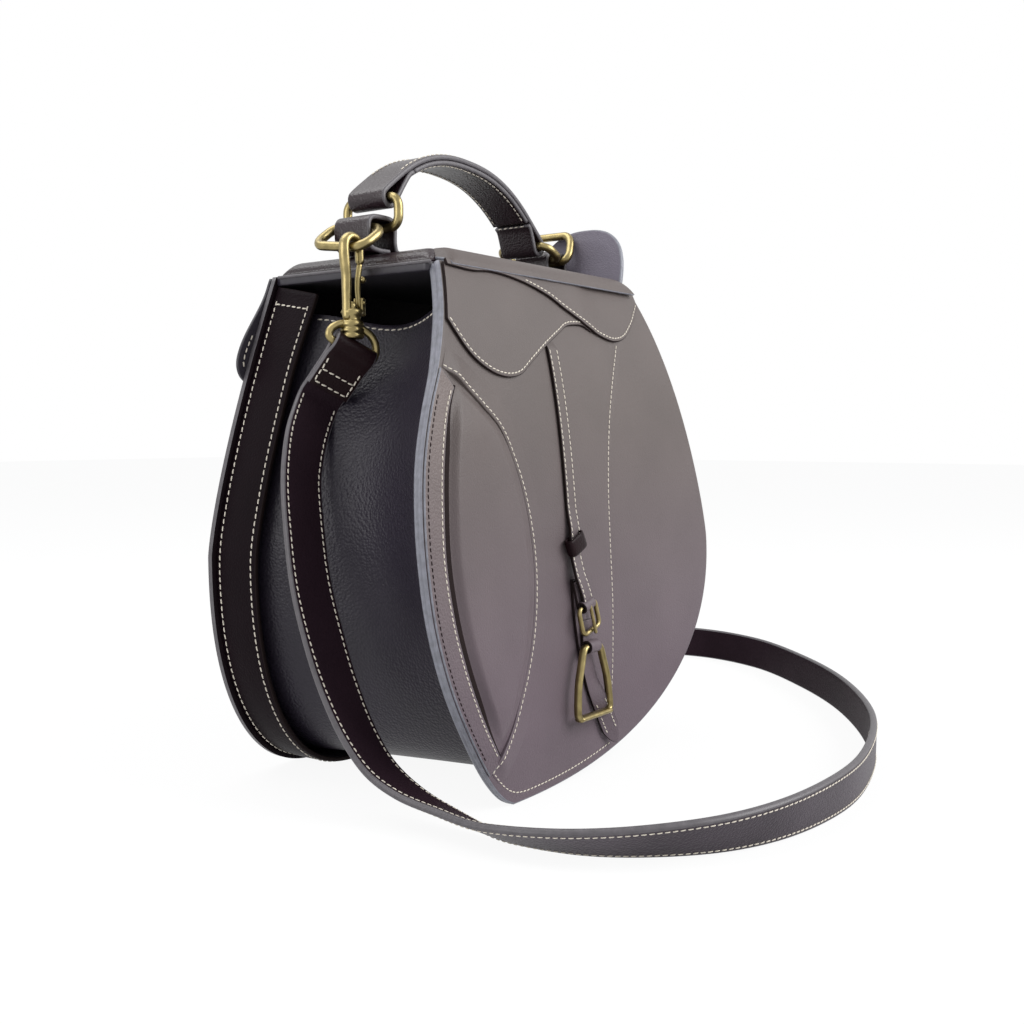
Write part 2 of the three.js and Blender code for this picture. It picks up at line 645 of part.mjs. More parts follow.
// Gusset from the front panel to under the rear band, drawn in along the middle of its depth
function gussetAndBand() {
  const backY = TOP_DEPTH / 2 - PANEL_THICK - GAP;
  const backLeft = (z) => -backHalf(z);
  const front = outlineU(flapLeft, flapRight, FLAP_FOOT, GUSSET_TOP, GUSSET_INSET_FRONT);
  const rear = outlineU(backLeft, backHalf, 0, GUSSET_TOP, BAND_INSET + BAND_THICK + 2 * GAP);
  const rearY = backY - GUSSET_UNDER_BAND;
  const wall = (deep, u, v) => {
    const a = front.getPointAt(u);
    const b = rear.getPointAt(u);
    const frontY = profileAt(downAt(a.y)).x + FRONT_SET_BACK + PANEL_THICK + GAP;
    const tangent = front.getTangentAt(u).lerp(rear.getTangentAt(u), v).normalize();
    const sides = THREE.MathUtils.smoothstep(Math.abs(u - 0.5), 0.12, 0.3);
    const drawn = deep + GUSSET_FOLD_IN * sides * Math.sin(Math.PI * v) ** 2;
    const p = a.lerp(b, v).add(new THREE.Vector2(-tangent.y, tangent.x).multiplyScalar(drawn));
    return new THREE.Vector3(p.x, THREE.MathUtils.lerp(frontY, rearY, v), p.y);
  };
  const gusset = (u, v, side) => wall(side * GUSSET_THICK, u, v);
  piece('gusset', sheet(GUSSET_STEPS, GUSSET_ROWS, gusset), LEATHER_DARK);

  const base = (u, v, side) => {
    const along = 0.5 + (u - 0.5) * BASE_STEPS / GUSSET_STEPS;
    const across = 0.5 + (v - 0.5) * (GUSSET_ROWS - 2) / GUSSET_ROWS;
    return wall(GUSSET_THICK + GAP + side * BASE_THICK, along, across);
  };
  piece('base_board', sheet(BASE_STEPS, GUSSET_ROWS - 2, base), BOARD);

  const bandU = outlineU(backLeft, backHalf, 0, BAND_TOP, BAND_INSET);
  const band = (u, v, side) => {
    const p = bandU.getPointAt(u);
    const tangent = bandU.getTangentAt(u);
    p.add(new THREE.Vector2(-tangent.y, tangent.x).multiplyScalar(side * BAND_THICK));
    return new THREE.Vector3(p.x, backY - v * BAND_DEPTH, p.y);
  };
  piece('rear_band', sheet(GUSSET_STEPS, 1, band), LEATHER_DARK);
}

// Lid, padded seat and cantle
const SEAT_TOP = BAG_HEIGHT + GAP + SEAT_THICK;

function lidAndSeat() {
  const lidFront = -TOP_DEPTH / 2 + LID_FRONT_GAP;
  const lidBack = TOP_DEPTH / 2 - PANEL_THICK - GAP;
  const lid = new THREE.BoxGeometry(2 * (TOP_HALF - LID_INSET), lidBack - lidFront, LID_THICK);
  lid.translate(0, (lidFront + lidBack) / 2, BAG_HEIGHT - LID_THICK / 2);
  piece('lid_board', lid, LEATHER_DARK);

  const seatFront = lidFront + 1;
  const seatBack = lidBack - SEAT_MARGIN;
  const eased = (t) => 0.5 - 0.5 * Math.cos(Math.PI * t);
  const seat = (u, v, side) => {
    const x = THREE.MathUtils.lerp(SEAT_LEFT, SEAT_RIGHT, eased(u));
    const y = THREE.MathUtils.lerp(seatFront, seatBack, eased(v));
    const fromEdge = Math.min(x - SEAT_LEFT, SEAT_RIGHT - x, y - seatFront, seatBack - y, SEAT_ROUND);
    const rounding = Math.sqrt(1 - (1 - fromEdge / SEAT_ROUND) ** 2);
    const thick = THREE.MathUtils.lerp(SEAT_RIM, SEAT_THICK, rounding);
    return new THREE.Vector3(x, y, BAG_HEIGHT + GAP + side * thick);
  };
  piece('seat_pad', sheet(18, 14, seat), LEATHER_FRONT);

  const half = CANTLE_WIDE / 2;
  const outline = new THREE.Shape();
  outline.moveTo(half, 0);
  outline.bezierCurveTo(half, CANTLE_HIGH * 0.62, half * 0.72, CANTLE_HIGH, 0, CANTLE_HIGH);
  outline.bezierCurveTo(-half * 0.72, CANTLE_HIGH, -half, CANTLE_HIGH * 0.62, -half, 0);
  const cantle = slab(outline, CANTLE_THICK, { curveSegments: 12 });
  cantle.rotateZ(Math.PI / 2);
  const foot = new THREE.Group();
  const seatGap = GAP + (CANTLE_THICK / 2) * Math.sin(THREE.MathUtils.degToRad(CANTLE_LEAN));
  foot.position.set(CANTLE_X + CANTLE_THICK / 2, CANTLE_Y, BAG_HEIGHT + seatGap);
  foot.rotation.y = THREE.MathUtils.degToRad(CANTLE_LEAN);
  bag.add(foot);
  piece('cantle', cantle, LEATHER_FRONT, foot);
}

// Chapes hold a handle ring and a strap ring each in two eyes along y
const RING_Z = SEAT_TOP + GAP + CHAPE_RISE;
const EYE_INSIDE = RING_WIRE / 2 + EYE_CLEAR;
const EYE_OUTSIDE = EYE_INSIDE + EYE_WALL;
const STRAP_EYE_X = HANDLE_HALF + CHAPE_EYES;
const RING_REACH = HANDLE_RING_HIGH + RING_WIRE;
const RIGHT_LEAN = THREE.MathUtils.degToRad(RIGHT_HANDLE_RING_LEAN);
const LEFT_BAR = new THREE.Vector3(-HANDLE_HALF, 0, RING_Z + RING_REACH);
const RIGHT_BAR = new THREE.Vector3(
  HANDLE_HALF - RING_REACH * Math.sin(RIGHT_LEAN), 0, RING_Z + RING_REACH * Math.cos(RIGHT_LEAN),
);

function chapes() {
  for (const [side, sign] of [['left', -1], ['right', 1]]) {
    const base = new THREE.BoxGeometry(CHAPE_EYES + CHAPE_TAIL, CHAPE_WIDE, CHAPE_BASE);
    const middle = HANDLE_HALF + (CHAPE_EYES - CHAPE_TAIL) / 2;
    base.translate(sign * middle, 0, SEAT_TOP + GAP + CHAPE_BASE / 2);
    const riser = new THREE.BoxGeometry(CHAPE_EYES, CHAPE_WIDE, CHAPE_RISE);
    riser.translate(sign * (HANDLE_HALF + CHAPE_EYES / 2), 0, SEAT_TOP + GAP + CHAPE_RISE / 2);
    const eyes = [HANDLE_HALF, STRAP_EYE_X].map((x) => sign * x);
    const walls = eyes.map((x) => rod(EYE_OUTSIDE, CHAPE_WIDE, 'y', 24).translate(x, 0, RING_Z));
    const bores = eyes.map((x) => rod(EYE_INSIDE, CHAPE_WIDE + 2, 'y', 24).translate(x, 0, RING_Z));
    const under = new THREE.BoxGeometry(200, 60, 10);
    under.translate(sign * HANDLE_HALF, 0, SEAT_TOP + GAP - 5);
    piece(`chape_${side}`, combine([base, riser, ...walls], [...bores, under]), LEATHER_DARK);

    const ring = wireRing(RING_INSIDE, HANDLE_RING_HIGH, RING_CORNER, RING_CORNER, RING_WIRE);
    ring.translate(0, 0, RING_REACH / 2);
    ring.rotateZ(Math.PI / 2);
    ring.rotateY(sign < 0 ? 0 : -RIGHT_LEAN);
    ring.translate(sign * HANDLE_HALF, 0, RING_Z);
    piece(`handle_ring_${side}`, ring, BRASS);
  }
}

// Handle: arched strap whose ends turn round the upper bars of its rings, the right one leaning in
function handle() {
  const STEPS = 30;
  const crown = EYE_OUTSIDE - HANDLE_THICK / 2;
  const rise = HANDLE_TOP - EYE_OUTSIDE - (LEFT_BAR.z + RIGHT_BAR.z) / 2;
  const middleAt = (u) => {
    const p = LEFT_BAR.clone().lerp(RIGHT_BAR, u);
    return new THREE.Vector2(p.x, p.z + crown + rise * (1 - Math.abs(2 * u - 1) ** HANDLE_POWER));
  };
  const band = (u, v, side) => {
    const step = 0.0001;
    const p = middleAt(u);
    const along = middleAt(u + step).sub(middleAt(u - step));
    const lean = u < step || u > 1 - step ? 0 : Math.atan2(along.y, along.x);
    const out = (side - 0.5) * HANDLE_THICK;
    return new THREE.Vector3(p.x - Math.sin(lean) * out, (v - 0.5) * HANDLE_WIDE, p.y + Math.cos(lean) * out);
  };
  const onBars = (shape) => [LEFT_BAR, RIGHT_BAR].map((bar) => shape().translate(bar.x, 0, bar.z));
  const eyes = onBars(() => rod(EYE_OUTSIDE, HANDLE_WIDE, 'y', 24));
  const bores = onBars(() => rod(EYE_INSIDE, HANDLE_WIDE + 2, 'y', 24));
  piece('handle_strap', combine([sheet(STEPS, 1, band), ...eyes], bores), LEATHER_DARK);
}

// Strap rings: the left one droops under its hook, the right one leans up against the cantle
function strapRings() {
  for (const [side, sign, tilt] of [['left', -1, -LEFT_RING_DROOP], ['right', 1, RIGHT_RING_TILT]]) {
    const ring = wireRing(RING_INSIDE, STRAP_RING_LONG, RING_CORNER, RING_BOW, RING_WIRE);
    ring.translate(0, 0, (STRAP_RING_LONG + RING_WIRE) / 2);
    ring.rotateZ(Math.PI / 2);
    ring.rotateY(sign * THREE.MathUtils.degToRad(90 - tilt));
    ring.translate(sign * STRAP_EYE_X, 0, RING_Z);
    piece(`strap_ring_${side}`, ring, BRASS);
  }
}

// Snap hook about the ring's wire at the origin: z along the hook, y along the wire
const WIRE_V = HOOK_ARC + HOOK_OPEN_HALF - RING_WIRE / 2 - 0.7;
const EYE_TOP_V = -0.5;
const BAR_V = EYE_TOP_V - SWIVEL_WIRE * 1.5 - SWIVEL_HIGH;

function snapHook(side, hookGroup, swivelGroup) {
  const leg = HOOK_OPEN_HALF + HOOK_LEG;
  const bevel = 0.8;
  const shape = new THREE.Shape();
  const inX = HOOK_OPEN_HALF + bevel;
  const outX = leg - bevel;
  shape.moveTo(-outX, HOOK_BASE);
  shape.lineTo(outX, HOOK_BASE);
  shape.lineTo(outX, HOOK_CLEVIS - bevel);
  shape.lineTo(inX, HOOK_CLEVIS - bevel);
  shape.lineTo(inX, NECK_TOP - bevel);
  shape.lineTo(-inX, NECK_TOP - bevel);
  shape.lineTo(-inX, HOOK_ARC);
  shape.absarc(0, HOOK_ARC, inX, Math.PI, 0, true);
  shape.lineTo(inX, HOOK_NOSE + bevel);
  shape.lineTo(outX, HOOK_NOSE + bevel);
  shape.lineTo(outX, HOOK_ARC);
  shape.absarc(0, HOOK_ARC, outX, 0, Math.PI, false);
  const rounding = { bevelEnabled: true, bevelThickness: bevel, bevelSize: bevel, bevelSegments: 1, curveSegments: 6 };
  const link = slab(shape, HOOK_THICK - 2 * bevel, rounding);
  const groove = COLLAR_RADIUS - 0.7;
  const ribs = [[0, 0], [groove, 0], [COLLAR_RADIUS, 0.8], [COLLAR_RADIUS, 2.2], [groove, 2.7], [groove, 3.1],
    [COLLAR_RADIUS, 3.6], [COLLAR_RADIUS, 5.2], [groove, 5.7], [groove, 6.1], [COLLAR_RADIUS, 6.6],
    [COLLAR_RADIUS, 8.2], [NECK_RADIUS, 9.2], [NECK_RADIUS, NECK_TOP], [0, NECK_TOP]];
  const collar = new THREE.LatheGeometry(ribs.map(([r, v]) => new THREE.Vector2(r, v)), 18);
  collar.rotateX(Math.PI / 2);
  const bore = rod(STEM_BORE, 40, 'z');
  const slot = new THREE.BoxGeometry(HOOK_LEG + 2, GATE_THICK + 2 * GAP, HOOK_CLEVIS - NECK_TOP + 3);
  const [axisX, axisZ] = GATE_AXIS;
  slot.translate(HOOK_OPEN_HALF + (HOOK_LEG + 2) / 2 - 1, 0, (NECK_TOP + HOOK_CLEVIS + 3) / 2);
  const pinBore = rod(GATE_PIN_BORE, HOOK_THICK + 2, 'y', 16).translate(axisX, 0, axisZ);
  const body = combine([link, collar], [bore, slot, pinBore]);
  piece(`hook_${side}`, body.translate(0, 0, -WIRE_V), BRASS, hookGroup);

  const lever = new THREE.Shape();
  const face = HOOK_OPEN_HALF + 0.4;
  const heel = axisZ - 1.8;
  lever.moveTo(face, heel);
  lever.lineTo(leg - 0.3, heel);
  lever.lineTo(leg - 0.3, 24);
  lever.quadraticCurveTo(leg + 2.4, 25, leg + 2.4, 27);
  lever.quadraticCurveTo(leg + 2, 28.6, leg - 0.5, 29);
  lever.lineTo(leg - 0.7, HOOK_NOSE - 0.4);
  lever.lineTo(face, HOOK_NOSE - 0.4);
  lever.holes.push(new THREE.Path().absarc(axisX, axisZ, GATE_PIN_BORE, 0, Math.PI * 2, true));
  const gate = slab(lever, GATE_THICK, { curveSegments: 6 });
  piece(`hook_gate_${side}`, gate.translate(0, 0, -WIRE_V), BRASS, hookGroup);
  const pin = rod(GATE_PIN, HOOK_THICK - 0.2, 'y', 14).translate(axisX, 0, axisZ - WIRE_V);
  piece(`gate_pin_${side}`, pin, BRASS, hookGroup);

  const eye = wireRing(STRAP_WIDE + SWIVEL_PLAY, SWIVEL_HIGH, SWIVEL_LOW_CORNER, SWIVEL_HIGH_CORNER, SWIVEL_WIRE);
  eye.rotateZ(Math.PI / 2);
  eye.translate(0, 0, EYE_TOP_V - SWIVEL_WIRE - SWIVEL_HIGH / 2);
  const stemLong = NECK_TOP + 0.5 - EYE_TOP_V + SWIVEL_WIRE / 2;
  const stem = rod(STEM_RADIUS, stemLong, 'z', 16).translate(0, 0, NECK_TOP + 0.5 - stemLong / 2);
  const head = rod(STEM_HEAD, 1.2, 'z', 18).translate(0, 0, NECK_TOP + 1);
  const swivel = combine([eye, stem, head]);
  piece(`swivel_eye_${side}`, swivel.translate(0, 0, -WIRE_V), BRASS, swivelGroup);
}

// Strap end turned round the swivel's lower bar and sewn to itself
function strapFold(side, barCentre, width, leanDegrees) {
  const inside = SWIVEL_WIRE / 2 + 0.4;
  const outside = inside + STRAP_THICK;
  const half = STRAP_THICK + 0.1;
  const drop = Math.sqrt(outside ** 2 - half ** 2);
  const shape = new THREE.Shape();
  shape.moveTo(-half, -FOLD_LONG);
  shape.lineTo(half, -FOLD_LONG);
  shape.lineTo(half, -drop);
  shape.absarc(0, 0, outside, Math.atan2(-drop, half), Math.PI + Math.atan2(drop, half), false);
  shape.holes.push(new THREE.Path().absarc(0, 0, inside, 0, Math.PI * 2, true));
  const group = new THREE.Group();
  group.position.copy(barCentre);
  group.rotation.set(0, THREE.MathUtils.degToRad(leanDegrees), Math.atan2(-width.x, width.y), 'ZYX');
  bag.add(group);
  piece(`strap_fold_${side}`, slab(shape, STRAP_WIDE, { curveSegments: 10 }), LEATHER_DARK, group);
  const hang = new THREE.Vector3(0, 0, -1).applyEuler(group.rotation);
  return { end: barCentre.clone().addScaledVector(hang, FOLD_LONG + GAP), hang };
}

function axesGroup(position, along, wire) {
  const zAxis = along.clone().negate();
  const yAxis = wire.clone().addScaledVector(zAxis, -wire.dot(zAxis)).normalize();
  const xAxis = new THREE.Vector3().crossVectors(yAxis, zAxis);
  const group = new THREE.Group();
  group.position.copy(position);
  group.quaternion.setFromRotationMatrix(new THREE.Matrix4().makeBasis(xAxis, yAxis, zAxis));
  bag.add(group);
  return group;
}

// Shoulder strap: hangs from the left hook, lies on edge round the front and climbs behind the bag
function strapBand(start, end, startOut, endOut) {
  const turned = (points) => points.map((p) => new THREE.Vector3(...p));
  const below = (fold) => fold.end.clone().addScaledVector(fold.hang, STRAP_STRAIGHT);
  const floor = turned(STRAP_FLOOR);
  const hangs = [turned(STRAP_LEFT_HANG), turned(STRAP_RIGHT_HANG)];
  const route = [start.end, below(start), ...hangs[0], ...floor, ...hangs[1], below(end), end.end];
  const curve = new THREE.CatmullRomCurve3(route, false, 'centripetal');
  curve.arcLengthDivisions = 800;
  const band = (u, v, side) => {
    const p = curve.getPointAt(u);
    const along = curve.getTangentAt(u);
    const level = new THREE.Vector3(along.y, -along.x, 0).normalize();
    const hang = THREE.MathUtils.smoothstep(p.z, FLOOR_Z + 4, 70);
    const out = level.lerp(u < 0.5 ? startOut : endOut, hang);
    out.addScaledVector(along, -out.dot(along)).normalize();
    const across = new THREE.Vector3().crossVectors(along, out);
    p.addScaledVector(across, (v - 0.5) * STRAP_WIDE).addScaledVector(out, (side - 0.5) * STRAP_THICK);
    return p;
  };
  piece('shoulder_strap', sheet(STRAP_STEPS, 1, band), LEATHER_DARK);
}

function hooksAndStrap() {
  const down = new THREE.Vector3(0, 0, -1);
  const yAxis = new THREE.Vector3(0, 1, 0);
  const droop = THREE.MathUtils.degToRad(LEFT_RING_DROOP);
  const reach = STRAP_RING_LONG + RING_WIRE;
  const leftWire = new THREE.Vector3(-STRAP_EYE_X, LEFT_HOOK_Y, RING_Z);
  leftWire.addScaledVector(new THREE.Vector3(-Math.cos(droop), 0, -Math.sin(droop)), reach);
  snapHook('left', axesGroup(leftWire, down, yAxis), axesGroup(leftWire, down, yAxis));
  const toBar = WIRE_V - BAR_V;
  const start = strapFold('left', leftWire.clone().addScaledVector(down, toBar), yAxis, LEFT_FOLD_LEAN);

  const tilt = THREE.MathUtils.degToRad(RIGHT_RING_TILT);
  const drop = THREE.MathUtils.degToRad(RIGHT_HOOK_DROP);
  const leg = new THREE.Vector3(Math.cos(tilt), 0, Math.sin(tilt));
  const outward = new THREE.Vector3(Math.sin(tilt), 0, -Math.cos(tilt));
  const along = yAxis.clone().multiplyScalar(Math.cos(drop)).addScaledVector(outward, Math.sin(drop));
  const rightWire = new THREE.Vector3(STRAP_EYE_X, (RING_INSIDE + RING_WIRE) / 2, RING_Z);
  rightWire.addScaledVector(leg, RIGHT_HOOK_ALONG);
  const barLine = new THREE.Vector3(-along.y, along.x, 0).normalize();
  snapHook('right', axesGroup(rightWire, along, leg.clone().negate()), axesGroup(rightWire, along, barLine));
  const end = strapFold('right', rightWire.clone().addScaledVector(along, toBar), barLine, 0);
  const outOfBack = new THREE.Vector3(along.x, along.y, 0).normalize();
  strapBand(start, end, new THREE.Vector3(-1, 0, 0), outOfBack);
}

flapPanel();
flapLayers();
stirrupLeather();
buckleAndStirrup();
magneticSnap();
frontPanel();
backPanel();
gussetAndBand();
lidAndSeat();
chapes();
handle();
strapRings();
hooksAndStrap();

// The origin lies on the floor under the middle of the bag itself, without its strap
const CORD_NAMES = ['shoulder_strap', 'strap_fold_left', 'strap_fold_right'];
const bagBox = new THREE.Box3();
bag.updateMatrixWorld(true);
bag.traverse((object) => {
  if (object.isMesh && !CORD_NAMES.includes(object.name)) bagBox.expandByObject(object, true);
});
const middle = bagBox.getCenter(new THREE.Vector3());
bag.position.set(-middle.x, -middle.y, -bagBox.min.z);
bag.updateMatrixWorld(true);

export default bag;
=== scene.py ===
"""Saddle-shaped top handle bag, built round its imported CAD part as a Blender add-on."""

import math

import bmesh
import bpy
import numpy as np
from bpy.props import FloatProperty, FloatVectorProperty
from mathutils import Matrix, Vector


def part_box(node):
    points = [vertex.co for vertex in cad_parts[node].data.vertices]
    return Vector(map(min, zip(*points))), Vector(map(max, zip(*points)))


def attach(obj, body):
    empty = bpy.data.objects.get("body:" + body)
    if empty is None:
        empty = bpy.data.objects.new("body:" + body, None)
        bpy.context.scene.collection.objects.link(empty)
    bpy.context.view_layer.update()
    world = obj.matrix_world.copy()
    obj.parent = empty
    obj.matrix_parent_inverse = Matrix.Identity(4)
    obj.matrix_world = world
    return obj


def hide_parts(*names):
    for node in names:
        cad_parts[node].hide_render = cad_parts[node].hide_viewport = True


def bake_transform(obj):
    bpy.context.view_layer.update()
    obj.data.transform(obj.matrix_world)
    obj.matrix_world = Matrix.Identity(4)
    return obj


bl_info = {
    "name": "Top handle bag",
    "version": (1, 0, 0),
    "blender": (4, 5, 0),
    "location": "View3D > Sidebar > Bag",
    "description": "Builds a saddle-shaped leather bag with a flap, handle and shoulder strap",
    "category": "Object",
}

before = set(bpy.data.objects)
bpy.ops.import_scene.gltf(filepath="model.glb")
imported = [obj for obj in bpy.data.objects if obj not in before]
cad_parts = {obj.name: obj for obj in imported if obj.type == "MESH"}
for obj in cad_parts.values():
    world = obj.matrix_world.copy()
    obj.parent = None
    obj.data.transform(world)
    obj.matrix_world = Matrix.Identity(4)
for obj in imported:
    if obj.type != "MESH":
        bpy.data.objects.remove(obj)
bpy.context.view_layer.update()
MM = 0.001
# The part's own frame lies this far behind the frame the shapes are drawn in
Y_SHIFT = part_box("back_panel")[1].y / MM - 51.5

# Sizes in millimetres: most are the CAD part's, and some follow the photograph closer
# Body
BAG_HEIGHT = 240.0
TOP_DEPTH = 103.0
TOP_HALF = 82.0
WIDEST_HALF = 124.0
WIDEST_HEIGHT = 107.0
LOW_X = -62.0
BACK_FLAT_HALF = 60.0
FRONT_SET_BACK = 9.4
PANEL_THICK = 2.6
LINING_THICK = 2.2
FLANGE = 2.5
GUSSET_TOP = 226.0
GUSSET_FOLD = 12.0
BAND_WIDE = 26.0
BAND_TOP = 236.0
BAND_BACK = 48.6
BAND_SEAMS = (46.2, 51.0 - BAND_WIDE)
YOKE_DROP = 51.0
YOKE_ROUND = 14.0
YOKE_WING = 6.0
POCKET_WIDE = 120.0
POCKET_HIGH = 80.0
POCKET_Y = 47.2
POCKET_Z = 150.0
LID_HALF = 81.4
LID_FRONT = -46.9
LID_BACK = 48.6
LID_THICK = 4.2
# Seat and cantle
SEAT_LEFT = -79.5
SEAT_RIGHT = 76.8
SEAT_FRONT = -45.9
SEAT_BACK = 46.6
SEAT_TOP = 247.3
CANTLE_HALF = 28.0
CANTLE_HIGH = 38.0
CANTLE_X = 80.05
CANTLE_Y = -18.0
CANTLE_LEAN = math.radians(15)
# Flap: slopes in degrees, and places down it from the fold
FOLD_SLOPE = 24.5
FOLD_FADE = 54.0
HANG_SLOPE = 2.0
FLAP_FOOT = 1.0
FLAP_THICK = 3.6
FLAP_EDGE_THICK = 4.4
FLAP_EDGE_MORE = 2.0
KNEE_TOP = 54.0
KNEE_FOOT = 221.0
# Stirrup trim
TRIM_SEAM = 2.9
TRIM_THICK = 1.5
BILLET_TOP = 148.0
BILLET_END = 231.0
KEEPER_HALF = 6.6
KEEPER_DEEP = 2.6
KEEPER_REACH = 4.0
KEEPER_WALL = 0.95
STIRRUP_DROP = 33.0
# Handle, chapes and rings
HANDLE_HALF = 66.0
HANDLE_TOP = 300.7
HANDLE_WIDE = 23.0
HANDLE_SEAM = 9.4
CHAPE_WIDE = 22.0
CHAPE_TURN = 4.0
RING_Z = 259.7
RING_REACH = 14.3
RING_LONG = 32.4
RING_WIRE = 4.4
RIGHT_RING_LEAN = math.radians(65)
STRAP_EYE_X = 75.6
STRAP_RING_REACH = 18.4
LEFT_RING_DROOP = math.radians(35)
RIGHT_RING_TILT = math.radians(61)
# Hooks and shoulder strap
HOOK_ASIDE = -10.0
HOOK_CROWN = 41.0
HOOK_TO_WIRE = HOOK_CROWN + 3.1 - RING_WIRE / 2 - 0.7
SWIVEL_BAR = -5.5
LEFT_BAR_WAY = (-0.81, 0.38, 0.46)
LEFT_FOLD_WAY = (-0.18, 0.58, -0.8)
FOLD_LONG = 21.5
FOLD_THICK = 3.0
FOLD_TURN = 3.6
FOLD_BACK = 1.65
STRAP_WIDE = 21.0
STRAP_THICK = 3.2
STRAP_SEAM = 8.3
STRAP_ROWS = 640

# Lines on the flap, as points across (x) and down (s) it
FLAP_LEFT_EDGE = [
    (-79, 0), (-88, 27), (-97.8, 49.5), (-107.8, 68.5), (-115.3, 90), (-118.3, 111), (-118.3, 133),
    (-115, 159), (-106.5, 186), (-92.5, 213), (-81, 230), (-71.5, 239.2), (-61.5, 244.0),
]
SMALL_SKIRT_EDGE = [
    (-78, 3), (-61, 4), (-47, 3), (-33, 4), (-20, 6.5), (-5.3, 11.2), (5, 16.5), (21.5, 23.7),
    (35.3, 28.6), (46, 30.4), (56.5, 28.4), (67, 21.6), (81, 8.5),
]
LARGE_SKIRT_EDGE = [
    (-87.2, 28.6), (-83, 35), (-77, 42.4), (-70, 47.6), (-60, 51.7), (-50, 52.8), (-41, 51),
    (-31.5, 45.3), (-16, 36), (-3.2, 29.2), (4.2, 25.4), (12.2, 24), (20, 24), (27, 26.5),
]
BAND_EDGE = [
    (-89, 55), (-97, 69), (-103.2, 90.6), (-106, 112), (-106.5, 133), (-102.5, 159), (-94.8, 183),
    (-85.7, 203), (-76, 220),
]
KNEE_EDGE = [
    (-96, 50.2), (-87.3, 55.3), (-73.1, 66.2), (-61, 77), (-51, 97.7), (-45.8, 118), (-43.8, 142),
    (-46.7, 166.2), (-53.5, 187), (-67, 211), (-82, 225),
]
FLAP_SEAM = [
    (49.9, 31.9), (38.5, 53), (30, 75), (24, 105), (22.3, 135), (21.9, 164), (18.6, 202), (14.5, 221),
    (10.5, 227),
]

# Shoulder strap's route in millimetres, from the left fold to the right one.
# On the floor a fourth number gives in degrees how far its inner face looks up.
STRAP_LEFT_HANG = [
    (-104, 5, 166), (-110.5, 1.7, 154), (-114.5, -1.1, 143), (-118.5, -7, 121), (-120.5, -12.7, 99),
    (-120.5, -19.8, 77), (-118.5, -26.8, 55.5),
]
STRAP_FLOOR = [
    (-116.5, -36.2, 36, 70), (-114.5, -47, 22, 88), (-113, -62, 13.5, 80), (-112.5, -83, 8.6, 69),
    (-114.5, -104, 6.4, 63), (-114.5, -120, 7, 57), (-109.3, -143, 8.1, 49), (-96, -164, 8.9, 42),
    (-72, -186, 9.9, 32), (-42, -199, 10.6, 20), (5, -204, 10.8, 10), (48, -199, 10.8, 4),
    (115, -178, 10.8, 0), (189, -134, 10.8, 0), (244, -85, 10.8, 0), (286, -32, 10.8, 0),
    (299, 16, 10.8, 0), (285, 60, 10.8, 0), (250, 92, 10.8, 0), (205, 106, 11.8, 0),
    (165, 106, 17, 0), (136, 99, 33, 0),
]
STRAP_RIGHT_HANG = [(119, 93, 60), (111, 86, 98), (106, 79, 140)]


def tone(name, description, value):
    """A colour setting."""
    return FloatVectorProperty(
        name=name, description=description, subtype="COLOR", size=3, min=0, max=1, default=value,
    )


def amount(name, description, value, low=0.0):
    """A number setting that doesn't go under low."""
    return FloatProperty(name=name, description=description, default=value, min=low)


class BagColours(bpy.types.PropertyGroup):
    """Colours of the leathers, thread, edges and metal"""

    # Painted sheen: the flap's light taupe is the body's dark leather, lightened to how it looks under
    # the front light
    front: tone("Front", "Leather of the flap", (0.079, 0.0635, 0.0595))
    strip: tone("Strip", "Grained strip along the flap's edge", (0.124, 0.099, 0.093))
    # Painted shade: toward its tip the flap fades by height to this plum, where less light reflects off
    # it
    front_low: tone("Front foot", "Leather of the flap near its tip", (0.096, 0.072, 0.086))
    dark: tone("Body", "Leather of the gusset, back and lid", (0.0135, 0.0105, 0.0175))
    strap: tone("Band", "Leather of the rear band and the strap's back", (0.006, 0.003, 0.0045))
    strap_face: tone("Strap", "Leather of the strap's face", (0.0165, 0.009, 0.013))
    # Painted sheen: where the strap lies on the floor it fades by height to this lighter colour, for the
    # light its face reflects there
    strap_low: tone("Strap on the floor", "Strap where it lies on the floor", (0.05, 0.041, 0.05))
    calf: tone("Calf", "Leather of the seat, handle and chapes", (0.017, 0.0085, 0.0115))
    cantle: tone("Cantle", "Leather of the cantle", (0.141, 0.125, 0.16))
    # Partly painted shade: the cut edges are dark leather, and dark enough to also stand in for the
    # shadow line under each layer's edge
    trim: tone("Trim edge", "Cut edges of the flap's layers", (0.014, 0.009, 0.009))
    brown: tone("Fold", "Leather of the strap's turned ends and the keeper", (0.0105, 0.0042, 0.0054))
    edge: tone("Flap edge", "Painted edge of the flap", (0.16, 0.162, 0.19))
    strap_edge: tone("Strap edge", "Painted edges of strap and bands", (0.07, 0.063, 0.07))
    thread: tone("Thread", "Stitching thread", (0.58, 0.53, 0.45))
    brass: tone("Brass", "Rings, hooks, buckle and stirrup", (0.31, 0.25, 0.115))
    steel: tone("Steel", "Halves of the magnetic snap", (0.5, 0.5, 0.51))


class BagSewing(bpy.types.PropertyGroup):
    """Sizes of the stitches in millimetres"""

    pitch: amount("Pitch", "From stitch to stitch, in millimetres", 3.4, 1.0)
    long: amount("Length", "Length of a stitch, in millimetres", 2.4, 0.5)
    wide: amount("Width", "Width of a stitch, in millimetres", 0.75, 0.1)
    fine: amount("Fine width", "Width of a fine stitch, in millimetres", 0.8, 0.1)
    inset: amount("Inset", "From an edge to its seam, in millimetres", 1.4, 0.5)


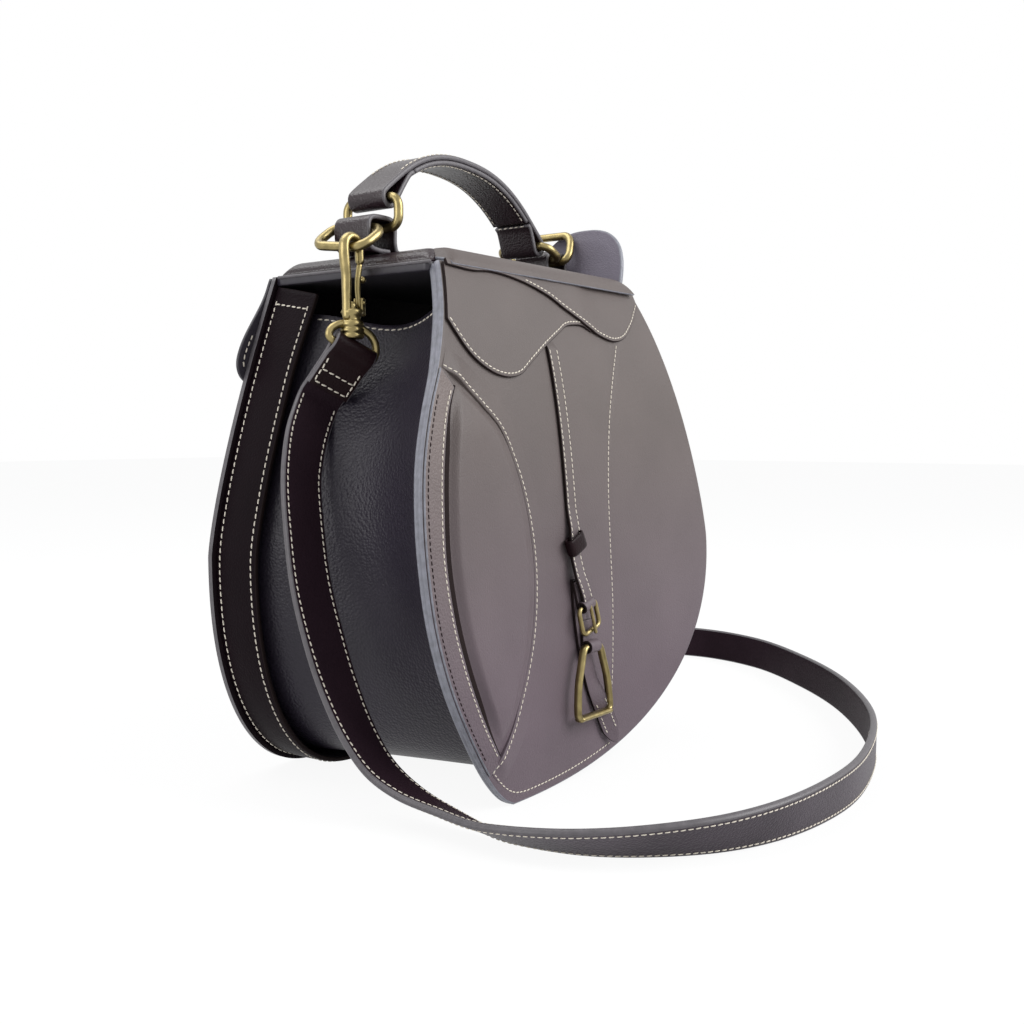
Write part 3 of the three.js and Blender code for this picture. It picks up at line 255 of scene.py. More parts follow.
class BagStage(bpy.types.PropertyGroup):
    """Camera and light"""

    lens: FloatProperty(name="Lens", description="Focal length", unit="CAMERA", default=42.19, min=10)
    place: FloatVectorProperty(
        name="Place", description="Camera's place, in millimetres", size=3,
        default=(-485.3, -393.0, 164.9),
    )
    yaw: FloatProperty(name="Yaw", description="Camera's turn to the right, in degrees", default=53.38)
    pitch: FloatProperty(name="Pitch", description="Camera's tilt down, in degrees", default=3.79)
    sky: amount("Sky", "Strength of the light from all round", 0.62)
    key: amount("Key", "Power of the front light, in watts", 22.0)
    glow: amount("Glow", "How far the floor shows white instead of its own light and shade", 0.92)


# Numbers and curves


def smooth(value, low, high):
    """0 before low, 1 after high and soft in between."""
    t = np.clip((np.asarray(value, float) - low) / (high - low), 0, 1)
    return t * t * (3 - 2 * t)


def unit(vectors):
    """Vectors of length one."""
    vectors = np.asarray(vectors, float)
    return vectors / np.maximum(np.linalg.norm(vectors, axis=-1, keepdims=True), 1e-9)


def spline(points, count, closed=False):
    """A smooth curve through points (centripetal Catmull-Rom), at even spacing."""
    p = np.asarray(points, float)
    if closed:
        p = np.vstack([p[-1], p, p[0], p[1]])
    else:
        p = np.vstack([2 * p[0] - p[1], p, 2 * p[-1] - p[-2]])
    parts = []
    for a, b, c, d in zip(p[:-3], p[1:-2], p[2:-1], p[3:]):
        k1 = np.linalg.norm(b - a) ** 0.5 + 1e-9
        k2 = k1 + np.linalg.norm(c - b) ** 0.5 + 1e-9
        k3 = k2 + np.linalg.norm(d - c) ** 0.5 + 1e-9
        t = np.linspace(k1, k2, 24, endpoint=False)[:, None]
        ab = a * (k1 - t) / k1 + b * t / k1
        bc = b * (k2 - t) / (k2 - k1) + c * (t - k1) / (k2 - k1)
        cd = c * (k3 - t) / (k3 - k2) + d * (t - k2) / (k3 - k2)
        abc = ab * (k2 - t) / k2 + bc * t / k2
        bcd = bc * (k3 - t) / (k3 - k1) + cd * (t - k1) / (k3 - k1)
        parts.append(abc * (k2 - t) / (k2 - k1) + bcd * (t - k1) / (k2 - k1))
    dense = np.vstack(parts + [p[-2][None]])
    return even(dense, count)


def even(points, count):
    """The same line with its points at even spacing."""
    points = np.asarray(points, float)
    steps = np.linalg.norm(np.diff(points, axis=0), axis=1)
    along = np.concatenate([[0], np.cumsum(steps)])
    wanted = np.linspace(0, along[-1], count)
    return np.stack([np.interp(wanted, along, points[:, k]) for k in range(points.shape[1])], axis=1)


def length_of(points):
    """Length of a line."""
    return float(np.linalg.norm(np.diff(points, axis=0), axis=1).sum())


def tangents(points, closed=False):
    """Directions along a line."""
    if closed:
        return unit(np.roll(points, -1, axis=0) - np.roll(points, 1, axis=0))
    return unit(np.gradient(points, axis=0))


def square_to(ways, t):
    """Directions made square to a line's own directions."""
    return unit(ways - t * np.einsum("ij,ij->i", ways, t)[:, None])


def between(a, b, share):
    """Values a share of the way from a to b."""
    return a * (1 - share) + b * share


def xyz(x, y, z):
    """Points from coordinates whose shapes fit together."""
    return np.stack(np.broadcast_arrays(x, y, z), axis=-1)


def in_depth(flat, y):
    """Flat points (x, z) at a depth."""
    return xyz(flat[:, 0], float(y), flat[:, 1])


def softened(line, times):
    """A line whose inner points are averaged with their neighbours, again and again."""
    for _ in range(times):
        line[1:-1] = (line[:-2] + 2 * line[1:-1] + line[2:]) / 4
    return line


def by_x(points):
    """Reads a line on the flap as its s at an x."""
    line = spline(points, 200)
    order = np.argsort(line[:, 0])
    return lambda x: np.interp(x, line[order, 0], line[order, 1])


def by_down(points):
    """Reads a line on the flap as its x at an s."""
    line = spline(points, 200)
    order = np.argsort(line[:, 1])
    return lambda s: np.interp(s, line[order, 1], line[order, 0])


def aside(line, distance):
    """A flat line moved sideways."""
    t = tangents(line)
    return line + distance * np.stack([-t[:, 1], t[:, 0]], axis=1)


# The flap's surface and the outlines


def slope(s):
    """The flap's slope from vertical, s down from the fold."""
    return np.radians(FOLD_SLOPE * np.exp(-np.maximum(s, 0) / FOLD_FADE) + HANG_SLOPE)


# The flap's section, from steps of a quarter millimetre down its slope
PROFILE_STEP = 0.25
PROFILE_S = np.linspace(0, 250, 1001)
PROFILE_SLOPE = slope(PROFILE_S[:-1] + PROFILE_STEP / 2)
PROFILE_Y = -TOP_DEPTH / 2 - np.concatenate([[0], np.cumsum(np.sin(PROFILE_SLOPE) * PROFILE_STEP)])
PROFILE_Z = BAG_HEIGHT - np.concatenate([[0], np.cumsum(np.cos(PROFILE_SLOPE) * PROFILE_STEP)])


def down_at(z):
    """Distance down the flap at a height."""
    return np.interp(-np.asarray(z, float), -PROFILE_Z, PROFILE_S)


def height_at(s):
    """Height of the flap's surface at a distance down it."""
    return np.interp(s, PROFILE_S, PROFILE_Z)


def flap_normal(s):
    """Directions out of the flap."""
    a = slope(s)
    return np.stack([np.zeros_like(a), -np.cos(a), np.sin(a)], axis=-1)


def flap_point(x, s, t):
    """Points on the flap, t out of its surface."""
    x, s, t = np.broadcast_arrays(np.asarray(x, float), np.asarray(s, float), np.asarray(t, float))
    base = np.stack([x, np.interp(s, PROFILE_S, PROFILE_Y), height_at(s)], axis=-1)
    return base + t[..., None] * flap_normal(s)


def half_width(z, low, low_power, up_power, foot):
    """Half width of an outline at a height, to one side from x = 0."""
    z = np.asarray(z, float)
    up = np.clip((z - WIDEST_HEIGHT) / (BAG_HEIGHT - WIDEST_HEIGHT), 0, None)
    high = WIDEST_HALF - (WIDEST_HALF - TOP_HALF) * up**up_power
    drop = np.clip((WIDEST_HEIGHT - z) / (WIDEST_HEIGHT - foot), 0, 1)
    under = low + (WIDEST_HALF - low) * np.clip(1 - drop**low_power, 0, None) ** (1 / low_power)
    return np.where(z >= WIDEST_HEIGHT, high, under)


def flap_left(z):
    """The flap's left edge."""
    return by_down(FLAP_LEFT_EDGE)(down_at(z))


def flap_right(z):
    """The flap's right edge."""
    return half_width(z, LOW_X, 2.2, 1.3, FLAP_FOOT)


def back_half(z):
    """The back panel's half width."""
    return half_width(z, BACK_FLAT_HALF, 2.3, 1.3, 0)


def outline_heights(foot, top, first_turn, low_rows, high_rows):
    """Heights of an outline's rows, closer together where it rounds under."""
    turn = np.linspace(first_turn, math.pi / 2, low_rows, endpoint=False)
    low = WIDEST_HEIGHT - (WIDEST_HEIGHT - foot) * np.cos(turn) ** (2 / 2.3)
    return np.concatenate([low, np.linspace(WIDEST_HEIGHT, top, high_rows)])


def outline_u(left, right, foot, top, inset, count):
    """Open U of an outline from its left top round the bottom to its right top, set in."""
    z = outline_heights(foot, top, 0.02, 60, 60)
    line = np.vstack([np.stack([left(z), z], 1)[::-1], np.stack([right(z), z], 1)])
    line = softened(even(line, count), count // 30)
    return even(aside(line, inset), count)


# Meshes


def add_mesh(name, points, faces, materials, slots=None):
    """One object from points in millimetres and faces, turned outward and smooth."""
    mesh = bpy.data.meshes.new(name)
    row = np.asarray(points, float).reshape(-1, 3).copy()
    row[:, 1] += Y_SHIFT
    mesh.from_pydata((row * MM).tolist(), [], [list(face) for face in faces])
    if slots is not None:
        mesh.polygons.foreach_set("material_index", np.asarray(slots, np.int32))
    work = bmesh.new()
    work.from_mesh(mesh)
    bmesh.ops.recalc_face_normals(work, faces=work.faces)
    work.to_mesh(mesh)
    work.free()
    mesh.shade_smooth()
    for material in materials:
        mesh.materials.append(material)
    obj = bpy.data.objects.new(name, mesh)
    bpy.context.scene.collection.objects.link(obj)
    return obj


def put(obj, body, nodes):
    """The piece moves with a body and stands for CAD nodes."""
    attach(obj, body)
    if nodes:
        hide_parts(*nodes)
    return obj


def grid_faces(rows, columns):
    """Quads of a grid of points."""
    k = np.arange(rows * columns).reshape(rows, columns)
    return np.stack([k[:-1, :-1], k[:-1, 1:], k[1:, 1:], k[1:, :-1]], axis=-1).reshape(-1, 4)


def ring_faces(k):
    """Quads between rows of point numbers that close round."""
    after = np.roll(k, -1, 1)
    return np.stack([k[:-1], after[:-1], after[1:], k[1:]], axis=-1).reshape(-1, 4)


def capped_faces(k):
    """Quads between rows of point numbers that close round, and the two ends."""
    return [list(face) for face in ring_faces(k)] + [list(k[0][::-1]), list(k[-1])]


def rim_of(rows, columns):
    """Indices of a grid's border in order round it."""
    k = np.arange(rows * columns).reshape(rows, columns)
    return np.concatenate([k[0], k[1:, -1], k[-1, -2::-1], k[-2:0:-1, 0]])


# Edge profiles as shares through the leather and how far the edge stands out there
ROUND_EDGE = ((0.1, 0.6), (0.3, 0.95), (0.7, 0.95), (0.9, 0.6))
TWO_LAYERS = (
    (0.06, 0.6), (0.18, 0.95), (0.4, 0.95), (0.5, 0.35), (0.6, 0.95), (0.82, 0.95), (0.94, 0.6),
)


def shell(name, front, back, materials, edge=0.5, profile=ROUND_EDGE):
    """Leather between two grids of points, with a rounded painted edge. Materials: face, edge, back."""
    rows, columns = front.shape[:2]
    face = grid_faces(rows, columns)
    rim = rim_of(rows, columns)
    flat_front = front.reshape(-1, 3)
    flat_back = back.reshape(-1, 3)
    size = rows * columns
    through = unit(flat_front[rim] - flat_back[rim])
    along = tangents(flat_front[rim], closed=True)
    out = unit(np.cross(along, through))
    middle = flat_front.mean(axis=0)
    if np.einsum("ij,ij->i", out, flat_front[rim] - middle).sum() < 0:
        out = -out
    points = [flat_front, flat_back]
    rings = [rim]
    start = 2 * size
    for share, bulge in profile:
        ring = flat_front[rim] * (1 - share) + flat_back[rim] * share + out * bulge * edge
        points.append(ring)
        rings.append(np.arange(start, start + len(rim)))
        start += len(rim)
    rings.append(rim + size)
    walls = []
    for a, b in zip(rings[:-1], rings[1:]):
        walls.append(np.stack([a, np.roll(a, -1), np.roll(b, -1), b], axis=1))
    walls = np.vstack(walls)
    faces = np.vstack([face, face[:, ::-1] + size, walls])
    slots = np.concatenate([np.zeros(len(face)), np.full(len(face), 2), np.ones(len(walls))])
    return add_mesh(name, np.vstack(points), faces, materials, slots)


def frames_along(path, closed=False, start=None):
    """Two directions across a line at each of its points, without twist."""
    t = tangents(path, closed)
    side = np.array(start if start is not None else (0.31, 0.9, 0.3), float)
    sides = []
    for direction in t:
        side = side - direction * side.dot(direction)
        side = side / np.linalg.norm(side)
        sides.append(side)
    a = np.array(sides)
    return a, np.cross(t, a)


def tube_parts(path, radius, sides=16, closed=False, flat=(1.0, 1.0), start=None):
    """Points and faces of round wire along a line, with rounded ends where it is open."""
    path = np.asarray(path, float)
    a, b = frames_along(path, closed, start)
    radius = np.broadcast_to(np.asarray(radius, float), (len(path),)).copy()
    if not closed:
        t = tangents(path)
        cap = np.array([0.0, 0.5, 0.82, 0.97])
        reach = np.sqrt(1 - cap**2)
        head = path[0] - t[0] * reach[:, None] * radius[0]
        tail = (path[-1] + t[-1] * reach[:, None] * radius[-1])[::-1]
        path = np.vstack([head, path, tail])
        end = np.maximum(cap, 0.02)
        radius = np.concatenate([end * radius[0], radius, end[::-1] * radius[-1]])
        a = np.pad(a, ((4, 4), (0, 0)), mode="edge")
        b = np.pad(b, ((4, 4), (0, 0)), mode="edge")
    turn = np.linspace(0, 2 * math.pi, sides, endpoint=False)[None, :, None]
    ring = np.cos(turn) * a[:, None] * flat[0] + np.sin(turn) * b[:, None] * flat[1]
    points = (path[:, None] + ring * radius[:, None, None]).reshape(-1, 3)
    k = np.arange(len(points)).reshape(-1, sides)
    if closed:
        return points, [list(face) for face in ring_faces(np.vstack([k, k[:1]]))]
    return points, capped_faces(k)


def merge_parts(parts):
    """Several sets of points and faces as one."""
    points = []
    faces = []
    start = 0
    for p, f in parts:
        points.append(p)
        faces += [[i + start for i in face] for face in f]
        start += len(p)
    return np.vstack(points), faces


def tube(name, path, radius, material, **options):
    """Round wire along a line."""
    points, faces = tube_parts(path, radius, **options)
    return add_mesh(name, points, faces, [material])


def band_section(wide, thick, edge):
    """Outline of a strap's section, (across, out) with the parts that are its edges marked."""
    half = wide / 2 - edge
    flat = np.linspace(-half, half, 7)
    turn = np.linspace(math.pi / 2, -math.pi / 2, 9)
    top = np.stack([flat, np.full(7, thick / 2)], 1)
    right = np.stack([half + edge * np.cos(turn), thick / 2 * np.sin(turn)], 1)[1:-1]
    low = np.stack([flat[::-1], np.full(7, -thick / 2)], 1)
    left = np.stack([-half - edge * np.cos(turn[::-1]), thick / 2 * np.sin(turn[::-1])], 1)[1:-1]
    outline = np.vstack([top, right, low, left])
    marks = np.array([0] * 6 + [1] * 8 + [0] * 6 + [1] * 8)
    return outline, marks


def band_parts(path, out, wide, thick, edge=0.9):
    """Points, faces and edge marks of a strap along a line; out is the way its face looks."""
    path = np.asarray(path, float)
    t = tangents(path)
    out = square_to(out, t)
    across = np.cross(t, out)
    wide = np.broadcast_to(np.asarray(wide, float), (len(path),))
    rings = []
    for k in range(len(path)):
        outline, marks = band_section(wide[k], thick, edge)
        rings.append(path[k] + outline[:, :1] * across[k] + outline[:, 1:] * out[k])
    points = np.vstack(rings)
    faces = capped_faces(np.arange(len(points)).reshape(len(path), -1))
    slots = np.concatenate([np.tile(marks, len(path) - 1), [1, 1]])
    return points, faces, slots


def band(name, path, out, wide, thick, materials, edge=0.9):
    """A strap along a line. Materials: face, edge."""
    points, faces, slots = band_parts(path, out, wide, thick, edge)
    return add_mesh(name, points, faces, materials, slots)


def lathe_parts(profile, base, axis, sides=28):
    """Points and faces of a turned piece: profile of (radius, along) about an axis from a base point."""
    axis = unit(np.array(axis, float))
    a = unit(np.cross(axis, (0.3, 0.9, 0.31)))
    b = np.cross(axis, a)
    turn = np.linspace(0, 2 * math.pi, sides, endpoint=False)
    ring = np.cos(turn)[:, None] * a + np.sin(turn)[:, None] * b
    profile = np.asarray(profile, float)[:, :, None, None]
    points = np.array(base, float) + profile[:, 1] * axis + profile[:, 0] * ring
    return points.reshape(-1, 3), capped_faces(np.arange(len(profile) * sides).reshape(-1, sides))


# Sewing


def stitch_parts(path, normal, size):
    """Thread stitches along a line on a surface: short slanted tubes whose ends sink in."""
    sewing = bpy.context.scene.bag_sewing
    path = np.asarray(path, float)
    total = length_of(path)
    count = max(2, int(round(total / (sewing.pitch * size))))
    dense = even(path, 2 * count + 1)
    middle = dense[1::2]
    steps = np.concatenate([[0], np.cumsum(np.linalg.norm(np.diff(path, axis=0), axis=1))])
    wanted = (np.arange(count) + 0.5) * total / count
    normal = unit(np.stack([np.interp(wanted, steps, normal[:, k]) for k in range(3)], axis=1))
    t = unit(dense[2::2] - dense[:-2:2])
    side = unit(np.cross(normal, t))
    slant = 0.1 + 0.05 * np.sin(np.arange(count) * 2.4)
    t = unit(t + side * slant[:, None])
    side = np.cross(normal, t)
    along = np.array([-0.5, -0.43, -0.2, 0.2, 0.43, 0.5]) * sewing.long * size
    taper = np.array([0.3, 0.8, 1.0, 1.0, 0.8, 0.3])[:, None]
    sink = np.array([-0.25, 0.0, 0.12, 0.12, 0.0, -0.25])[:, None]
    turn = np.linspace(0, 2 * math.pi, 7, endpoint=False)[None]
    half = sewing.wide * size / 2
    ring_side = (np.cos(turn) * taper * half).ravel()
    ring_up = ((np.sin(turn) * taper + sink) * half * 0.8).ravel()
    ring_along = np.repeat(along, turn.size)
    points = (
        middle[:, None]
        + ring_along[None, :, None] * t[:, None]
        + ring_side[None, :, None] * side[:, None]
        + ring_up[None, :, None] * normal[:, None]
    )
    k = np.arange(ring_up.size).reshape(len(along), turn.size)
    starts = np.arange(count) * k.size
    faces = [list(f) for f in (ring_faces(k)[None] + starts[:, None, None]).reshape(-1, 4)]
    faces += [list(k[0][::-1] + s) for s in starts]
    faces += [list(k[-1] + s) for s in starts]
    return points.reshape(-1, 3), faces


def sew(name, lines, body, size=1.0, look="thread"):
    """One piece of thread from several lines of (points, normals)."""
    points, faces = merge_parts([stitch_parts(p, n, size) for p, n in lines])
    obj = add_mesh(name, points, faces, [material(look)])
    return put(obj, body, [])


def flap_line(line, t):
    """A line on the flap as points and normals, t out of its surface."""
    line = np.asarray(line, float)
    return flap_point(line[:, 0], line[:, 1], t), flap_normal(line[:, 1])


# Materials


def node_material(name):
    """A new material with its shader."""
    made = bpy.data.materials.new(name)
    made.use_nodes = True
    return made, made.node_tree, made.node_tree.nodes["Principled BSDF"]


def add_node(tree, kind, values=(), **settings):
    """A shader node with its settings, and values for its inputs by name or place."""
    node = tree.nodes.new("ShaderNode" + kind)
    for name, value in settings.items():
        setattr(node, name, value)
    for name, value in dict(values).items():
        node.inputs[name].default_value = value
    return node


def uneven(tree, noise, colour, least, most):
    """A colour made darker and lighter by a noise, from least to most of it."""
    levels = {"From Min": 0.3, "From Max": 0.7, "To Min": least, "To Max": most}
    shade = add_node(tree, "MapRange", levels)
    tint = add_node(tree, "VectorMath", {0: colour}, operation="SCALE")
    tree.links.new(noise.outputs["Fac"], shade.inputs["Value"])
    tree.links.new(shade.outputs["Result"], tint.inputs["Scale"])
    return tint


def leather(name, colour, cell, depth, roughness, mottle, shine, low, painted_light_heights):
    """Grained leather: cells of a size and depth in millimetres, and a painted light gradient by height
    toward a colour for low parts.
    """
    made, tree, shader = node_material(name)
    link = tree.links.new
    place = add_node(tree, "TexCoord")
    grain = {"Scale": 1000 / cell, "Smoothness": 0.15, "Randomness": 0.9}
    cells = add_node(tree, "TexVoronoi", grain, feature="SMOOTH_F1")
    fine = add_node(tree, "TexNoise", {"Scale": 2600 / cell, "Detail": 3})
    height = add_node(tree, "Math", {1: 0.12}, operation="MULTIPLY_ADD")
    bump = add_node(tree, "Bump", {"Strength": 0.8, "Distance": depth * MM}, invert=True)
    blotch = add_node(tree, "TexNoise", {"Scale": 22, "Detail": 4})
    tint = uneven(tree, blotch, colour, 1 - mottle, 1 + mottle)
    for texture in (cells, fine, blotch):
        link(place.outputs["Object"], texture.inputs["Vector"])
    link(fine.outputs["Fac"], height.inputs[0])
    link(cells.outputs["Distance"], height.inputs[2])
    link(height.outputs[0], bump.inputs["Height"])
    link(bump.outputs["Normal"], shader.inputs["Normal"])
    link(tint.outputs["Vector"], shader.inputs["Base Color"])
    shader.inputs["Roughness"].default_value = roughness
    shader.inputs["Specular IOR Level"].default_value = shine
    # Painted light: the colour fades by height to the low colour, painted shade at the flap's tip and
    # painted sheen where the strap lies on the floor
    if low:
        split = add_node(tree, "SeparateXYZ")
        levels = {"From Min": painted_light_heights[0], "From Max": painted_light_heights[1]}
        rise = add_node(tree, "MapRange", levels, interpolation_type="SMOOTHSTEP")
        mix = add_node(tree, "Mix", {"A": low, "B": colour}, data_type="VECTOR")
        link(place.outputs["Object"], split.inputs["Vector"])
        link(split.outputs["Z"], rise.inputs["Value"])
        link(rise.outputs["Result"], mix.inputs["Factor"])
        link(mix.outputs["Result"], tint.inputs[0])
    return made


def plain(name, colour, roughness, metallic, grain, bump_depth):
    """Metal, thread or edge paint with a fine uneven surface."""
    made, tree, shader = node_material(name)
    link = tree.links.new
    place = add_node(tree, "TexCoord")
    noise = add_node(tree, "TexNoise", {"Scale": grain, "Detail": 4})
    bump = add_node(tree, "Bump", {"Strength": 0.5, "Distance": bump_depth * MM})
    levels = {"To Min": max(0, roughness - 0.1), "To Max": roughness + 0.12}
    spread = add_node(tree, "MapRange", levels)
    tint = uneven(tree, noise, colour, 0.78, 1.15)
    link(place.outputs["Object"], noise.inputs["Vector"])
    link(noise.outputs["Fac"], bump.inputs["Height"])
    link(noise.outputs["Fac"], spread.inputs["Value"])
    link(bump.outputs["Normal"], shader.inputs["Normal"])
    link(spread.outputs["Result"], shader.inputs["Roughness"])
    link(tint.outputs["Vector"], shader.inputs["Base Color"])
    shader.inputs["Metallic"].default_value = metallic
    return made


# Leathers: colour, grain's size and depth in millimetres, roughness, mottling, shine, low colour of a
# painted light gradient
LEATHERS = {
    "front": ("front", 0.8, 0.12, 0.5, 0.08, 0.3, "front_low"),
    "grained": ("strip", 1.1, 0.3, 0.5, 0.12, 0.3, "front_low"),
    "dark": ("dark", 1.3, 0.3, 0.42, 0.16, 0.3, ""),
    "strap": ("strap", 1.1, 0.25, 0.4, 0.2, 0.09, "strap_low"),
    "strap_face": ("strap_face", 1.1, 0.2, 0.5, 0.2, 0.03, ""),
    "smooth": ("strap", 1.1, 0.2, 0.45, 0.2, 0.035, ""),
    "calf": ("calf", 1.1, 0.2, 0.34, 0.2, 0.4, ""),
    "cantle": ("cantle", 0.9, 0.14, 0.5, 0.08, 0.3, ""),
    "brown": ("brown", 0.9, 0.14, 0.36, 0.2, 0.08, ""),
    "suede": ("dark", 0.5, 0.1, 0.85, 0.2, 0.45, ""),
    "trim_edge": ("trim", 0.9, 0.1, 0.6, 0.1, 0.06, ""),
}
# Heights in metres between which a leather's painted light gradient changes it to the colour of its low
# parts
PAINTED_LIGHT_HEIGHTS = {"front_low": (0.02, 0.19), "strap_low": (0.014, 0.032)}
# Paint, thread and metal: colour, roughness, metal, and the size and depth of their unevenness
PLAINS = {
    "edge": ("edge", 0.45, 0.0, 350, 0.1),
    "strap_edge": ("strap_edge", 0.45, 0.0, 350, 0.1),
    "dark_edge": ("dark", 0.4, 0.0, 350, 0.1),
    "thread": ("thread", 0.8, 0.0, 2500, 0.1),
    "steel": ("steel", 0.3, 1.0, 400, 0.02),
    "brass": ("brass", 0.33, 1.0, 220, 0.05),
}


def material(name):
    """A material of the bag by name, made when first asked for."""
    found = bpy.data.materials.get("bag_" + name)
    if found:
        return found
    colours = bpy.context.scene.bag_colours
    if name in PLAINS:
        colour, *values = PLAINS[name]
        return plain("bag_" + name, getattr(colours, colour), *values)
    colour, *values, low = LEATHERS[name]
    painted_light_low_colour = getattr(colours, low) if low else None
    return leather("bag_" + name, getattr(colours, colour), *values, painted_light_low_colour, PAINTED_LIGHT_HEIGHTS.get(low))


def finishes(*names):
    """Materials for a piece's face, edge and back."""
    return [material(name) for name in names]


def brass_tube(name, path, radius, body, node, **shape):
    """A piece of bent brass wire."""
    obj = tube(name, path, radius, material("brass"), **shape)
    put(obj, body, [node])


def brass_piece(name, parts, body, node):
    """A brass piece of several parts."""
    points, faces = merge_parts(parts)
    obj = add_mesh(name, points, faces, [material("brass")])
    put(obj, body, [node])


# Flap and its layers


def low_border(inset):
    """Line along the flap's bottom edge, from the edge band's tip to the tail, as points (x, s)."""
    line = outline_u(flap_left, flap_right, FLAP_FOOT, 200, inset, 900)
    tip = np.argmin(np.hypot(line[:, 0] + 82, line[:, 1] - 19))
    tail = np.argmin(np.abs(line[:, 0] - 15) + 100 * (line[:, 1] > 60))
    part = softened(line[tip:tail], 150)
    return np.stack([part[:, 0], down_at(part[:, 1])], 1)


def build_flap():
    """Main panel of the flap with a painted two-layer edge and its seams."""
    z = outline_heights(FLAP_FOOT, BAG_HEIGHT, 0.02, 80, 76)
    s = down_at(z)
    left = flap_left(z)
    right = flap_right(z)
    u = np.linspace(0, 1, 121)
    x = between(left[:, None], right[:, None], u)
    seam = spline(FLAP_SEAM, 160)
    low = low_border(3.4)
    far = np.min(np.hypot(x[..., None] - seam[:, 0], s[:, None, None] - seam[:, 1]), axis=-1)
    dip = -0.35 * np.exp(-((far / 1.6) ** 2))
    front = flap_point(x, s[:, None], dip)
    gap = np.minimum(x - left[:, None], right[:, None] - x)
    hem = 1 - smooth(gap, 2, 9)
    edge = FLAP_EDGE_THICK + FLAP_EDGE_MORE * (1 - smooth(s, 30, 70))
    back = flap_point(x, s[:, None], -FLAP_THICK - (edge - FLAP_THICK)[:, None] * hem)
    obj = shell("flap", front, back, finishes("front", "edge", "suede"), 0.8, TWO_LAYERS)
    put(obj, "flap", ["flap_panel"])
    fine = bpy.context.scene.bag_sewing.fine
    sew("flap_thread", [flap_line(seam, -0.25), flap_line(low, 0.06)], "flap", fine)


def skirt_heights(x, s, edge_of_large):
    """How far the small skirt is lifted by the large one under it."""
    inside = smooth(edge_of_large(x) - s, -2.5, 2.5) * (1 - smooth(x, 18, 38))
    return 0.08 + 1.45 * inside


def build_skirts():
    """Small and large skirt along the flap's top."""
    sewing = bpy.context.scene.bag_sewing
    large = by_x(LARGE_SKIRT_EDGE)
    small = by_x(SMALL_SKIRT_EDGE)
    faces = finishes("front", "trim_edge", "suede")
    v = np.linspace(0, 1, 34)
    edge = spline(LARGE_SKIRT_EDGE, 160)
    top = np.stack([np.linspace(-78.4, 34, 160), np.full(160, 1.5)], 1)
    grid = between(top[:, None], edge[:, None], v[:, None])
    lift = 1.43 - 1.3 * smooth(grid[..., 0], 14, 38)
    front = flap_point(grid[..., 0], grid[..., 1], lift)
    back = flap_point(grid[..., 0], grid[..., 1], 0.05)
    put(shell("large_skirt_leather", front, back, faces, 0.35), "flap", ["large_skirt"])
    x = np.linspace(-78, 81, 180)
    s = 0.5 + (small(x)[:, None] - 0.5) * v
    base = skirt_heights(x[:, None], s, large)
    front = flap_point(x[:, None], s, base + 1.35)
    back = flap_point(x[:, None], s, base)
    put(shell("small_skirt_leather", front, back, faces, 0.35), "flap", ["small_skirt"])
    line = aside(edge, -sewing.inset)
    line = line[line[:, 0] < 19]
    lift = 1.48 - 1.3 * smooth(line[:, 0], 14, 38)
    lines = [(flap_point(line[:, 0], line[:, 1], lift), flap_normal(line[:, 1]))]
    line = aside(spline(SMALL_SKIRT_EDGE, 300), -sewing.inset)
    line = line[(line[:, 0] > -22) & (line[:, 1] > 1.5)]
    lift = skirt_heights(line[:, 0], line[:, 1], large)
    lines.append((flap_point(line[:, 0], line[:, 1], lift + 1.42), flap_normal(line[:, 1])))
    sew("skirt_thread", lines, "flap", sewing.fine)


